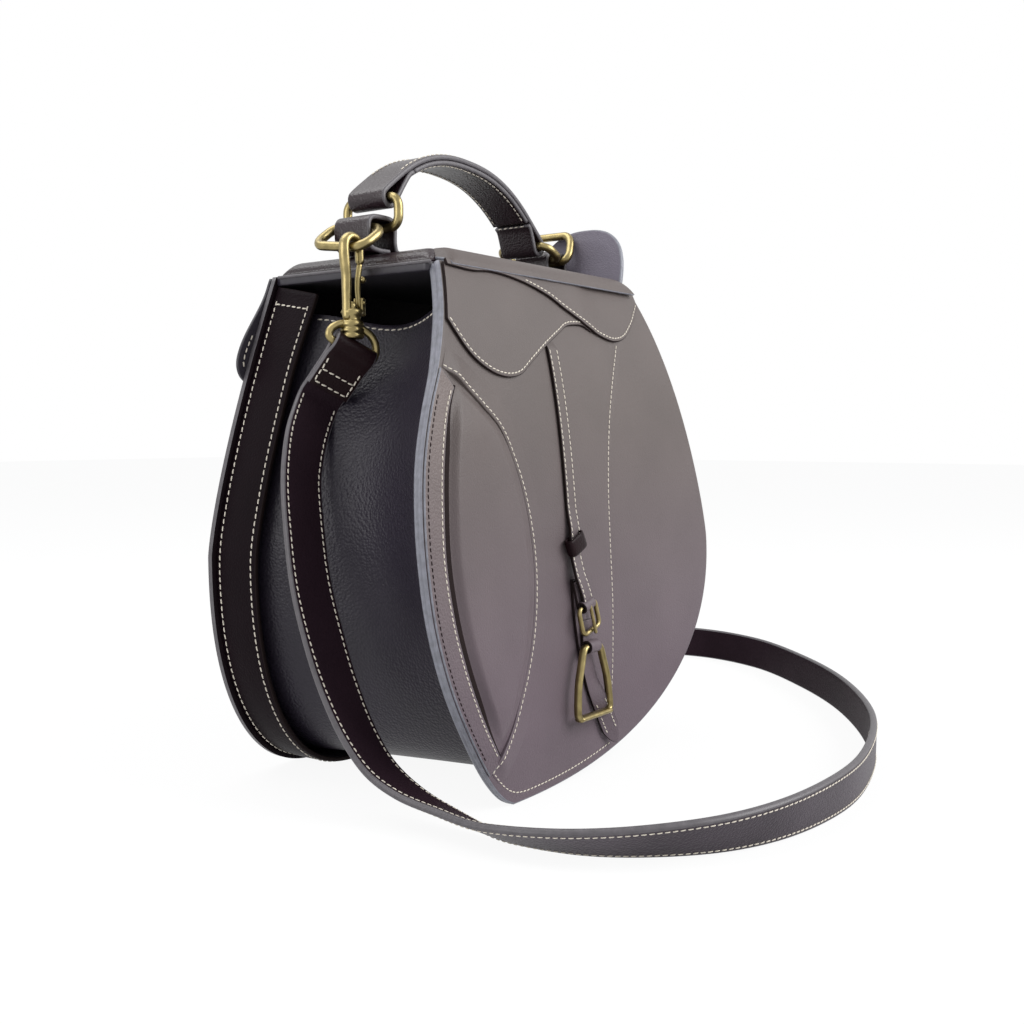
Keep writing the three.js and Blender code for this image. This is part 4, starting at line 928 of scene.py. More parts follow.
def build_knee_roll():
    """Padded knee roll and the grained band along the flap's left edge."""
    sewing = bpy.context.scene.bag_sewing
    band_line = by_down(BAND_EDGE)
    knee_line = by_down(KNEE_EDGE)
    u = np.linspace(0, 1, 80)
    s = np.linspace(KNEE_TOP, KNEE_FOOT, 170)
    left = band_line(s) - 1.2
    right = knee_line(s) + 0.6
    x = between(left[:, None], right[:, None], u)
    wide = (right - left)[:, None]
    ends = smooth(np.minimum(s - KNEE_TOP, KNEE_FOOT - s), 0, 26)[:, None]
    ridge = smooth(u * wide, 3.6, 9.5) * (1 - 0.4 * smooth(u * wide, 10, 34))
    puff = -0.25 + (0.3 + 3.3 * ridge * ends) * smooth((1 - u) * wide, 0.2, 9.0)
    front = flap_point(x, s[:, None], puff)
    back = flap_point(x, s[:, None], -0.9)
    roll = shell("knee_pad", front, back, [material("front")] * 3, 0.0)
    put(roll, "flap", ["knee_roll"])
    u = np.linspace(0, 1, 14)
    along = np.linspace(0, 1, 170)[:, None]
    down = between(51 + 8 * u, 226 - 4 * u, along)
    left = flap_left(height_at(down)) + 0.7
    x = between(left, band_line(down), u)
    front = flap_point(x, down, 1.15)
    back = flap_point(x, down, 0.04)
    strip = shell("edge_strip", front, back, finishes("grained", "edge", "suede"), 0.35)
    put(strip, "flap", ["flap_edge_band"])
    # Painted shade: a thin dark band beside the strip's inner edge stands in for the shadow in the
    # groove before the knee roll
    s = np.linspace(58, 219, 150)
    ends = smooth(np.minimum(s - 58, 219 - s), 0, 30)
    gap = flap_point(band_line(s) + 1.0 + 0.9 * ends, s, 0.32)
    obj = band("knee_gap", gap, flap_normal(s), 1.0 + 3.0 * ends, 0.5, [material("trim_edge")] * 2, 0.2)
    put(obj, "flap", [])
    knee = spline(KNEE_EDGE, 260)
    over_band = 1 - smooth(knee[:, 0] - band_line(knee[:, 1]), -3.0, 14.0)
    at_ends = np.maximum(1 - smooth(knee[:, 1], 62, 90), smooth(knee[:, 1], 196, 216))
    step = 0.12 + 0.8 * at_ends + 1.1 * over_band
    run = np.linspace(0, length_of(knee), 260)
    step = step * (0.1 + 0.9 * smooth(run, 1, 9) * (1 - smooth(run, run[-1] - 9, run[-1] - 1)))
    side = aside(knee, -1.0) - knee
    v = np.linspace(0, 1, 16)
    grid = knee[:, None] + side[:, None] * (v * 13)[None, :, None]
    level = step[:, None] * (1 - smooth(v, 0.12, 1.0))
    front = flap_point(grid[..., 0], grid[..., 1], level + 0.04 - 0.3 * v**4)
    back = flap_point(grid[..., 0], grid[..., 1], -0.5)
    obj = shell("panel_edge", front, back, finishes("front", "front", "suede"), 0.1)
    put(obj, "flap", [])
    s = np.linspace(60, 219, 200)
    inner = np.stack([band_line(s) - 1.5, s], 1)
    seam = knee + side * 1.5
    outer = (flap_point(seam[:, 0], seam[:, 1], step + 0.1), flap_normal(seam[:, 1]))
    sew("knee_thread", [flap_line(inner, 1.22), outer], "flap", sewing.fine)
    s = np.linspace(62, 219, 200)
    holes = np.stack([flap_left(height_at(s)) + 2.4, s], 1)
    sew("edge_thread", [flap_line(holes, 1.18)], "flap", sewing.fine, "brown")


def flap_frame(x, s, t):
    """Base point and directions across, up and out on the flap."""
    base = flap_point(x, s, t)
    out = flap_normal(np.array(float(s)))
    across = np.array([1.0, 0, 0])
    return base, across, np.cross(out, across), out


def tilted(frame, degrees):
    """A frame on the flap turned in its surface, its right end up."""
    base, across, up, out = frame
    a = math.radians(degrees)
    return base, across * math.cos(a) + up * math.sin(a), up * math.cos(a) - across * math.sin(a), out


def build_stirrup_trim():
    """Stirrup leather with keeper, buckle, stirrup and tail."""
    faces = finishes("front", "trim_edge")
    s = np.linspace(33, 160, 150)
    lift = 0.1 - 1.7 * (1 - smooth(s, 33, 39)) + 1.5 * smooth(s, 112, 128) + 2.9 * smooth(s, 132, 152)
    x = -12.4 - 1.2 * smooth(s, 120, 136) + 4.6 * smooth(s, 144, 160)
    path = flap_point(x, s, lift + TRIM_THICK / 2)
    obj = band("stirrup_strap", path, flap_normal(s), 8.0, TRIM_THICK, faces, 0.4)
    put(obj, "flap", ["stirrup_leather"])
    lines = []
    shown = s > 38
    for side in (-TRIM_SEAM, TRIM_SEAM):
        lines.append((flap_point(x + side, s, lift + 1.53)[shown], flap_normal(s[shown])))
    s = np.linspace(BILLET_TOP, BILLET_END, 90)
    along = (s - BILLET_TOP) / (BILLET_END - BILLET_TOP)
    x = -11 + 26 * along**2.2
    wide = 9.6 * np.sqrt(np.clip((BILLET_END - s) / 8, 0.02, 1))
    lifted = smooth(s, 196, 214)
    turned = math.radians(28) * lifted[:, None]
    out = flap_normal(s) * np.cos(turned) - np.array([1.0, 0, 0]) * np.sin(turned)
    path = flap_point(x, s, 0.95 + 2.3 * lifted)
    obj = band("billet", path, out, wide, TRIM_THICK, faces, 0.3)
    put(obj, "flap", ["billet_tail"])
    keep = (s > 208) & (s < 225)
    across = np.cross(tangents(path), out)
    for side in (-TRIM_SEAM, TRIM_SEAM):
        lines.append(((path + across * side + out * 0.8)[keep], out[keep]))
    sew("stirrup_thread", lines, "flap", bpy.context.scene.bag_sewing.fine)
    build_keeper()
    build_buckle()
    build_stirrup()


def build_keeper():
    """Leather loop round the stirrup leather: a box with soft corners that narrows at both ends."""
    base, across, up, out = tilted(flap_frame(-13.6, 131, 3.2), 24)
    turn = np.linspace(0, 2 * math.pi, 48, endpoint=False)
    corner = 0.55
    aside_way = np.sign(np.cos(turn)) * (np.abs(np.cos(turn)) ** corner * KEEPER_HALF)
    out_way = np.sign(np.sin(turn)) * (np.abs(np.sin(turn)) ** corner * KEEPER_DEEP)
    ring = base + aside_way[:, None] * across + out_way[:, None] * out
    share = np.linspace(-1, 1, 9)[:, None, None]
    outer = base + (ring - base) * (1 - 0.06 * share**6) + share * KEEPER_REACH * up
    inner = outer - unit(ring - base)[None] * KEEPER_WALL
    points = np.concatenate([outer, inner[::-1]]).reshape(-1, 3)
    k = np.arange(len(points)).reshape(-1, len(turn))
    obj = add_mesh("keeper", points, ring_faces(np.vstack([k, k[:1]])), [material("brown")])
    put(obj, "keeper", ["keeper_loop"])


def rounded_path(wide, high, radius, count):
    """Closed line round a box with soft corners, centred, in two coordinates."""
    x = wide / 2 - radius
    y = high / 2 - radius
    turn = np.linspace(0, math.pi / 2, 9)
    corners = []
    for cx, cy, start in ((x, y, 0), (-x, y, 1), (-x, -y, 2), (x, -y, 3)):
        a = turn + start * math.pi / 2
        corners.append(np.stack([cx + radius * np.cos(a), cy + radius * np.sin(a)], 1))
    line = np.vstack(corners)
    return even(np.vstack([line, line[:1]]), count + 1)[:-1]


def fold_section(inside, wall, tongue):
    """Line of a leather strip folded round a bar: (out, up) from the tongue round the bar."""
    middle = inside + wall / 2
    turn = np.linspace(math.pi, 2 * math.pi + 2.2, 40)
    loop = np.stack([middle * np.cos(turn), middle * np.sin(turn)], 1)
    lead = np.stack([np.full(10, -middle), np.linspace(tongue, 0.4, 10)], 1)
    return np.vstack([lead, loop])


def leather_loop(name, frame, inside, wall, tongue, wide, nodes):
    """Leather strip folded round a bar on the flap."""
    base, across, up, out = frame
    line = even(fold_section(inside, wall, tongue), 60)
    path = base + line[:, :1] * out + line[:, 1:] * up
    outward = np.cross(across, tangents(path))
    if np.einsum("ij,ij->i", outward, path - base).sum() < 0:
        outward = -outward
    obj = band(name, path, outward, wide, wall, finishes("front", "trim_edge"), 0.35)
    put(obj, "flap", nodes)


def build_buckle():
    """Small buckle with a prong."""
    base, across, up, out = tilted(flap_frame(-9.5, 160.5, 4.9), 16)
    line = rounded_path(14.6, 12.8, 2.6, 72)
    middle = base - up * 6.4
    path = middle + line[:, :1] * across + line[:, 1:] * up
    brass_tube("buckle", path, 1.15, "flap", "buckle_frame", closed=True)
    leather_loop("buckle_fold", (base, across, up, out), 1.5, 1.3, 13.0, 9.0, ["buckle_loop"])
    turn = np.linspace(math.pi * 1.6, 0.25, 24)
    eye = base + 1.95 * np.cos(turn)[:, None] * out + 1.95 * np.sin(turn)[:, None] * up
    tip = base + 2.1 * out - np.linspace(1.5, 13.8, 14)[:, None] * up
    path = even(np.vstack([eye, tip]), 48)
    brass_tube("prong", path, 0.85, "prong", "buckle_prong", sides=12)


def build_stirrup():
    """Stirrup iron with its tread."""
    base, across, up, out = flap_frame(-7, 180.5, 5.2)
    arch = [(0, 0), (5.4, 0), (7.3, -1.6), (9.6, -8), (12.2, -16), (13.4, -24), (13.5, -31.5)]
    right = spline(arch + [(11.6, -STIRRUP_DROP)], 50)
    left = right[::-1] * np.array([-1, 1])
    line = np.vstack([right, left])
    line = even(np.vstack([line, line[:1]]), 141)[:-1]
    path = base + line[:, :1] * across + line[:, 1:] * up
    parts = [tube_parts(path, 1.5, closed=True, flat=(1.35, 1.0), start=out)]
    tread = base - STIRRUP_DROP * up + np.linspace(-12.4, 12.4, 30)[:, None] * across
    parts.append(tube_parts(tread, 1.5, sides=20, flat=(1.0, 1.85), start=up))
    brass_piece("stirrup_iron_brass", parts, "stirrup_iron", "stirrup")
    leather_loop("stirrup_fold", (base, across, up, out), 1.8, 1.3, 12.6, 9.0, ["stirrup_loop"])


# Body


def build_panels():
    """Front panel behind the flap, back panel, yoke and slip pocket."""
    faces = finishes("dark", "dark_edge", "suede")
    z = outline_heights(FLAP_FOOT, float(height_at(32)), 0.3, 50, 40)
    z = np.concatenate([[0.0, 3.0], z[z > 7]])
    left = np.where(z < 6, -50, flap_left(z) + 9)
    right = np.where(z < 6, -14, flap_right(z) - 3)
    left[1] = (left[0] + left[2]) / 2
    right[1] = (right[0] + right[2]) / 2
    u = np.linspace(0, 1, 40)
    x = between(left[:, None], right[:, None], u)
    y = np.interp(down_at(z), PROFILE_S, PROFILE_Y) + FRONT_SET_BACK
    front = xyz(x, y[:, None], z[:, None])
    back = front + np.array([0, PANEL_THICK, 0])
    put(shell("front_wall", front, back, faces, 0.0), "root", ["front_panel"])

    z = outline_heights(0, BAG_HEIGHT, 0.0, 60, 60)
    x = back_half(z)[:, None] * np.linspace(-1, 1, 60)
    outer = xyz(x, TOP_DEPTH / 2, z[:, None])
    inner = outer - np.array([0, PANEL_THICK, 0])
    obj = shell("back_wall", outer, inner, finishes("dark", "strap_edge", "smooth"), 0.0, TWO_LAYERS)
    put(obj, "root", ["back_panel"])

    v = np.linspace(0, 1, 60)
    z = BAG_HEIGHT - 1 - v * YOKE_DROP
    wing = YOKE_WING * smooth(v, 0.1, 0.7)
    under = np.clip(YOKE_ROUND - (1 - v) * YOKE_DROP, 0, YOKE_ROUND)
    half = back_half(z) + wing - (YOKE_ROUND - np.sqrt(YOKE_ROUND**2 - under**2))
    x = half[:, None] * np.linspace(-1, 1, 80)
    yoke = xyz(x, TOP_DEPTH / 2 + 2.0, z[:, None])
    under_yoke = yoke - np.array([0, 1.7, 0])
    put(shell("yoke", yoke, under_yoke, faces, 0.4), "root", ["back_yoke"])
    edge = np.vstack([np.stack([-half[4:], z[4:]], 1), np.stack([half[4:], z[4:]], 1)[::-1]])
    line = aside(even(edge, 400), 3.0)
    points = in_depth(line, TOP_DEPTH / 2 + 2.1)
    out = np.tile([0.0, 1.0, 0.0], (400, 1))
    outline = outline_u(lambda q: -back_half(q), back_half, 0, 186, 3.4, 500)
    rim = in_depth(outline, TOP_DEPTH / 2 + 0.1)
    lines = [(points, out), (rim, np.tile([0.0, 1.0, 0.0], (500, 1)))]
    for sign in (-1, 1):
        wing_part = sign * line[:, 0] > back_half(line[:, 1]) + 1.2
        face = points[wing_part] - np.array([0, 1.9, 0])
        lines.append((face, -out[wing_part]))
    sew("back_thread", lines, "root")

    flat = rounded_path(POCKET_WIDE, POCKET_HIGH, 6, 120)
    grid = np.linspace(0, 1, 12)[:, None, None]
    ring = np.concatenate([flat, flat[:1]])
    disc = ring[None] * (1 - grid * 0.98)
    pocket = xyz(disc[..., 0], POCKET_Y, disc[..., 1] + POCKET_Z)
    obj = shell("pocket", pocket, pocket + np.array([0, 1.4, 0]), [material("suede")] * 3, 0.0)
    put(obj, "root", ["slip_pocket"])


def gusset_wall(front, rear, v, deep, fold):
    """Points of the gusset's surface between two U lines: v from front to rear, deep into the bag."""
    front_y = np.interp(down_at(front[:, 1]), PROFILE_S, PROFILE_Y) + FRONT_SET_BACK + PANEL_THICK + 0.3
    rear_y = TOP_DEPTH / 2 - PANEL_THICK - 0.3 - 9
    t_front = tangents(front)
    t_rear = tangents(rear)
    u = np.linspace(0, 1, len(front))
    sides = smooth(np.abs(u - 0.5), 0.12, 0.3)
    t = unit(between(t_front[:, None], t_rear[:, None], v[:, None]))
    flat = between(front[:, None], rear[:, None], v[:, None])
    valley = np.sin(math.pi * v**0.72) ** 1.7
    drawn = deep + fold * sides[:, None] * valley[None]
    flat = flat + np.stack([-t[..., 1], t[..., 0]], -1) * drawn[..., None]
    return xyz(flat[..., 0], between(front_y[:, None], rear_y, v), flat[..., 1])


def band_drop(points):
    """How far the rear band's top end is cut down toward its front edge."""
    return 5 * (BAND_BACK - points[..., 1]) / BAND_WIDE * smooth(points[..., 2], 190, BAND_TOP)


def build_gusset():
    """Side gusset, rear band and base board."""
    faces = finishes("dark", "dark_edge", "suede")
    front = outline_u(flap_left, flap_right, FLAP_FOOT, GUSSET_TOP, 12.5, 260)
    rear = outline_u(lambda q: -back_half(q), back_half, 0, GUSSET_TOP - 2, FLANGE + 4, 260)
    v = np.linspace(0, 1, 70)
    outer = gusset_wall(front, rear, v, 0.0, GUSSET_FOLD)
    inner = gusset_wall(front, rear, v, LINING_THICK, GUSSET_FOLD)
    hem = 3.0 * np.sin(math.pi * np.clip(v / 0.8, 0, 1)) ** 2
    near_top = smooth(outer[..., 2], 170, 222)
    for wall in (outer, inner):
        wall[..., 2] -= hem[None] * near_top
    lines = []
    for k, away in ((1, 1), (-2, -1)):
        row = outer[k, 3:-12]
        side_way = np.cross(tangents(row), unit(outer[k, 3:-12] - outer[k + away * 2, 3:-12]))
        side_way = side_way * np.sign(side_way[:, :1] * row[:, :1])
        lines.append((row + side_way * 0.05, side_way))
    sew("gusset_thread", lines, "root")
    put(shell("gusset_leather", outer, inner, faces, 0.4), "root", ["gusset"])

    line = outline_u(lambda q: -back_half(q), back_half, 0, BAND_TOP, FLANGE, 300)
    t = tangents(line)
    into = np.stack([-t[:, 1], t[:, 0]], 1)
    y = np.linspace(BAND_BACK, BAND_BACK - BAND_WIDE, 24)
    belly = 0.5 * np.sin(np.linspace(0, math.pi, 24))
    flat_out = line[:, None] - into[:, None] * belly[:, None]
    flat_in = line[:, None] + into[:, None] * LINING_THICK
    outer = xyz(flat_out[..., 0], y, flat_out[..., 1])
    inner = xyz(flat_in[..., 0], y, flat_in[..., 1])
    for wall in (outer, inner):
        wall[..., 2] -= band_drop(wall)
    obj = shell("rear_strip", outer, inner, finishes("smooth", "trim_edge", "suede"), 0.4)
    put(obj, "root", ["rear_band"])
    lines = []
    normal = in_depth(-into, 0)
    for place in BAND_SEAMS:
        points = in_depth(line, place) + normal * 0.25
        points[:, 2] -= band_drop(points)
        lines.append((points[3:-3], normal[3:-3]))
    y = np.linspace(BAND_SEAMS[1], BAND_SEAMS[0], 12)
    for k in (4, -5):
        points = xyz(line[k, 0], y, line[k, 1])
        points[:, 2] -= band_drop(points)
        lines.append((points + normal[k] * 0.45, np.tile(normal[k], (12, 1))))
    sew("rear_strip_thread", lines, "root")

    part = slice(100, 160)
    v = np.linspace(1 / 6, 5 / 6, 20)
    board = gusset_wall(front, rear, v, 2.5, 0.0)[part]
    top = gusset_wall(front, rear, v, 4.5, 0.0)[part]
    put(shell("base", board, top, [material("suede")] * 3, 0.0), "root", ["base_board"])


def build_lid():
    """Lid, padded seat, leather over the fold and cantle."""
    faces = finishes("dark", "dark_edge", "suede")
    x = np.linspace(-LID_HALF, LID_HALF, 60)
    top = xyz(x[:, None], np.linspace(LID_FRONT, LID_BACK, 40), BAG_HEIGHT)
    obj = shell("lid", top, top - np.array([0, 0, LID_THICK]), faces, 0.3)
    put(obj, "root", ["lid_board"])
    # Painted highlight: a thin grey tube along each side of the lid's top edge stands in for the light
    # that edge catches
    for side, x in (("left", -81.5), ("right", 81.5)):
        line = xyz(x, np.linspace(-48, 47.6, 40), 239.6)
        painted_highlight = tube("lid_piping_" + side, line, 0.85, material("strap_edge"), sides=10)
        put(painted_highlight, "root", [])

    ease = 0.5 - 0.5 * np.cos(np.linspace(0, math.pi, 70))
    x = SEAT_LEFT + ease[:, None] * (SEAT_RIGHT - SEAT_LEFT)
    y = SEAT_FRONT + ease * (SEAT_BACK - SEAT_FRONT)
    end_gap = np.minimum(x - SEAT_LEFT, SEAT_RIGHT - x)
    side_gap = np.minimum(y - SEAT_FRONT, SEAT_BACK - y)
    end_round = np.sqrt(1 - (1 - np.clip(end_gap / 9, 0, 1)) ** 2)
    side_round = np.sqrt(1 - (1 - np.clip(side_gap / 7, 0, 1)) ** 2)
    rise = 1.2 + 5.8 * end_round * side_round
    low = BAG_HEIGHT + 0.15
    obj = shell("seat", xyz(x, y, low + rise), xyz(x, y, low), finishes("calf", "calf", "suede"), 0.3)
    put(obj, "root", ["seat_pad"])
    build_fold_leather()
    build_cantle()


def build_fold_leather():
    """Leather that rolls from the seat over the front edge onto the flap."""
    x = np.linspace(-75, 77.5, 110)
    full = np.sqrt(1 - (1 - np.clip(np.minimum(x + 75.1, 77.6 - x) / 8, 0, 1)) ** 2)
    lap = smooth(x, -34, -6)
    section = spline([(-41.5, 247.5), (-47, 247.1), (-51.6, 244.9), (-54.6, 241.6), (-55.6, 239.0)], 30)
    y = section[:, 0] - (0.9 * lap + 0.3)[:, None] * smooth(-section[:, 0], 46, 55)
    z = BAG_HEIGHT - 1.0 + (section[:, 1] - BAG_HEIGHT + 1.0)[None] * (0.3 + 0.7 * full)[:, None]
    outer = xyz(x[:, None], y, z)
    t = tangents(section)
    into = np.stack([0 * t[:, 0], -t[:, 1], t[:, 0]], -1)
    inner = outer + into[None] * np.where(into[:1, 2:] < 0, 1.3, -1.3)
    roll = shell("fold_leather", outer, inner, finishes("front", "edge", "suede"), 0.25)
    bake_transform(roll)


def build_cantle():
    """Padded tab that flares out at the right end of the seat."""
    turn = np.linspace(0, math.pi, 90)
    v = np.linspace(0, 1, 40)
    half = CANTLE_HALF * np.sign(np.cos(turn)) * np.abs(np.cos(turn)) ** 0.8
    high = CANTLE_HIGH * np.sin(turn) ** 0.66
    y = CANTLE_Y + half[:, None] * (1 - v * 0.999)
    up = high[:, None] * (1 - 0.999 * v)
    x = CANTLE_X + np.sin(CANTLE_LEAN) * up
    bow = 1.2 * ((y - CANTLE_Y) / CANTLE_HALF) ** 2
    z = BAG_HEIGHT + 0.8 + np.cos(CANTLE_LEAN) * up
    face = np.stack([x - bow, y, z], -1)
    normal = np.array([math.cos(CANTLE_LEAN), 0, -math.sin(CANTLE_LEAN)])
    puff = 1.9 - 0.5 * (1 - smooth(v, 0, 0.2))
    front = face - normal * puff[None, :, None]
    rear = face + normal * 1.8
    obj = shell("cantle_pad", front, rear, finishes("cantle", "edge", "cantle"), 0.9)
    put(obj, "root", ["cantle"])


# Handle


LEFT_BAR = np.array([-HANDLE_HALF, RING_Z + RING_REACH])
RIGHT_RING_WAY = np.array([-math.sin(RIGHT_RING_LEAN), math.cos(RIGHT_RING_LEAN)])
RIGHT_BAR = np.array([HANDLE_HALF, RING_Z]) + RING_REACH * RIGHT_RING_WAY


def handle_line(u, out):
    """The handle's arch in (x, z): u from its left end to its right one, out from its middle."""
    fine = np.linspace(0, 1, 401)
    rise = HANDLE_TOP - 5.2 - (LEFT_BAR[1] + RIGHT_BAR[1]) / 2
    line = LEFT_BAR + (RIGHT_BAR - LEFT_BAR) * fine[:, None]
    line[:, 1] += 2.7 + rise * (1 - np.abs(2 * fine - 1) ** 2.4)
    t = tangents(line)
    line = line + np.stack([-t[:, 1], t[:, 0]], 1) * out
    return np.stack([np.interp(u, fine, line[:, 0]), np.interp(u, fine, line[:, 1])], 1)


def up_from(path):
    """Directions across a line that runs to +x in the xz plane."""
    t = tangents(path)
    return np.stack([-t[:, 2], 0 * t[:, 0], t[:, 0]], -1)


def build_handle():
    """Handle strap with turned ends, its rings and the chapes that hold them."""
    turn = np.linspace(math.radians(318), math.radians(140), 24)
    circle = 4.1 * np.stack([np.cos(turn), np.sin(turn)], 1)
    left = np.vstack([handle_line(np.linspace(0.135, 0.1, 4), -1.35), LEFT_BAR + circle])
    circle = circle * np.array([-1, 1])
    right = np.vstack([handle_line(np.linspace(0.92, 0.945, 4), -1.35), RIGHT_BAR + circle])[::-1]
    top = handle_line(np.linspace(0.085, 0.925, 90), 1.3)
    path = in_depth(spline(np.vstack([left, top, right])[::2], 280), 0)
    *top_layer, top_slots = band_parts(path, up_from(path), HANDLE_WIDE, 2.5, 0.8)
    lining = in_depth(handle_line(np.linspace(0.14, 0.915, 80), -1.35), 0)
    *low_layer, low_slots = band_parts(lining, up_from(lining), HANDLE_WIDE, 2.4, 0.8)
    points, faces = merge_parts([top_layer, low_layer])
    slots = np.concatenate([top_slots, low_slots])
    obj = add_mesh("handle_leather", points, faces, finishes("calf", "strap_edge"), slots)
    put(obj, "handle", ["handle_strap"])
    lines = []
    for y in (-HANDLE_SEAM, HANDLE_SEAM):
        for ends, out in (((0.09, 0.92), 2.75), ((0.15, 0.905), -2.7)):
            line = in_depth(handle_line(np.linspace(*ends, 110), out), y)
            lines.append((line, np.sign(out) * up_from(line)))
    for u in (0.13, 0.926):
        spot = handle_line(np.array([u - 0.01, u, u + 0.01]), -2.68)
        across = xyz(spot[1, 0], np.linspace(-9, 9, 10), spot[1, 1])
        lines.append((across, np.tile(-up_from(in_depth(spot, 0))[1], (10, 1))))
    sew("handle_thread", lines, "handle")
    for side, sign, lean in (("left", -1, 0.0), ("right", 1, -RIGHT_RING_LEAN)):
        line = rounded_path(RING_LONG, RING_REACH, 5.2, 96)
        way = np.array([math.sin(lean), 0, math.cos(lean)])
        middle = np.array([sign * HANDLE_HALF, 0, RING_Z]) + way * RING_REACH / 2
        path = middle + line[:, :1] * np.array([0, 1.0, 0]) + line[:, 1:] * way
        name = "ring_" + side
        brass_tube(name, path, RING_WIRE / 2, name, "handle_" + name, closed=True)
        build_chape(side, sign)


def build_chape(side, sign):
    """Leather strip sewn to the seat and turned round the bars of both rings."""
    low = SEAT_TOP + 1.3
    turn = np.linspace(math.pi, math.pi / 2, 12)
    inner = np.stack([HANDLE_HALF + CHAPE_TURN * np.cos(turn), RING_Z + CHAPE_TURN * np.sin(turn)], 1)
    turn = np.linspace(math.pi / 2, 0, 12)
    outer = np.stack([STRAP_EYE_X + CHAPE_TURN * np.cos(turn), RING_Z + CHAPE_TURN * np.sin(turn)], 1)
    foot = [(51.5, low), (57.0, low), (60.6, low + 0.6), (61.9, low + 4)]
    close = [(79.4, low + 5), (78.2, low + 1.4), (74.0, low + 0.1), (66.0, low)]
    line = spline(np.vstack([foot, inner[::3], outer[::3], close]), 170)
    path = in_depth(line * np.array([sign, 1]), 0)
    out = sign * up_from(path)
    name = "chape_" + side
    looks = finishes("calf", "strap_edge")
    obj = band(name + "_leather", path, out, CHAPE_WIDE, LINING_THICK, looks, 0.7)
    put(obj, "root", [name])


# Strap hardware


def hook_places():
    """For each side: the wire's point, and the directions of the hook, the wire and the swivel's bar."""
    reach = np.array([-math.cos(LEFT_RING_DROOP), 0, -math.sin(LEFT_RING_DROOP)])
    wire = np.array([-STRAP_EYE_X, HOOK_ASIDE, RING_Z - 1.0]) + reach * STRAP_RING_REACH
    left = (wire, np.array([0, 0, -1.0]), np.array([0, 1.0, 0]), unit(np.array(LEFT_BAR_WAY)))
    drop = math.radians(25)
    leg = np.array([math.cos(RIGHT_RING_TILT), 0, math.sin(RIGHT_RING_TILT)])
    outward = np.array([math.sin(RIGHT_RING_TILT), 0, -math.cos(RIGHT_RING_TILT)])
    along = np.array([0, 1.0, 0]) * math.cos(drop) + outward * math.sin(drop)
    wire = np.array([STRAP_EYE_X, 16.2, RING_Z]) + leg * 8.6
    bar = unit(np.array([-along[1], along[0], 0]))
    return {"left": left, "right": (wire, along, -leg, bar)}


SWIVEL_EYE = [
    (-10.5, 0), (10.5, 0), (13.0, 1.2), (13.3, 4.1), (10.6, 8.1), (5.0, 10.7), (-5.0, 10.7),
    (-10.6, 8.1), (-13.3, 4.1), (-13.0, 1.2),
]
HOOK_FOOT = [
    (4.4, 0), (5.2, 0.5), (5.4, 1.2), (5.2, 2.0), (4.5, 2.4), (5.2, 2.9), (5.4, 3.8), (5.2, 4.7),
    (4.5, 5.1), (5.2, 5.6), (5.4, 6.5), (5.1, 7.6), (4.3, 8.4), (3.8, 9.2), (4.4, 10.4), (5.2, 12.0),
    (4.4, 13.4),
]
HOOK_NOSE = [(4.9, 38.5), (5.0, 36.6), (5.1, 35.2)]
GATE_LEVER = [(4.7, 15.2), (4.3, 18), (3.8, 22), (3.9, 27), (4.6, 31), (5.0, 33.0)]
KNOB_SIZES = np.array([0.9, 0.95, 1.0, 1.2, 1.55, 1.7, 1.65, 1.3])
STEM_SIZES = np.array([1.7] + [1.5] * 7 + [2.2, 2.5])


def build_strap_rings():
    """The two rings that hold the hooks, each with one half narrower."""
    for side, sign, lean in (("left", -1, -LEFT_RING_DROOP), ("right", 1, RIGHT_RING_TILT)):
        line = rounded_path(RING_LONG, STRAP_RING_REACH, 7.0, 96)
        reach = np.array([sign * math.cos(lean), 0, math.sin(lean)])
        middle = np.array([sign * STRAP_EYE_X, 0, RING_Z]) + reach * STRAP_RING_REACH / 2
        roll = 0.0
        if side == "left":
            line[:, 0] *= np.where(line[:, 0] > 0, 0.87, 1.0)
            roll = 0.12
        else:
            line[:, 0] *= np.where(line[:, 0] < 0, 0.82 - 0.014 * line[:, 1], 1.0)
        path = middle + line[:, :1] * np.array([0, 1.0, 0]) + line[:, 1:] * reach
        path = path + line[:, :1] * roll * np.array([0, 0, 1.0])
        brass_tube("strap_loop_" + side, path, RING_WIRE / 2, "root", "strap_ring_" + side, closed=True)


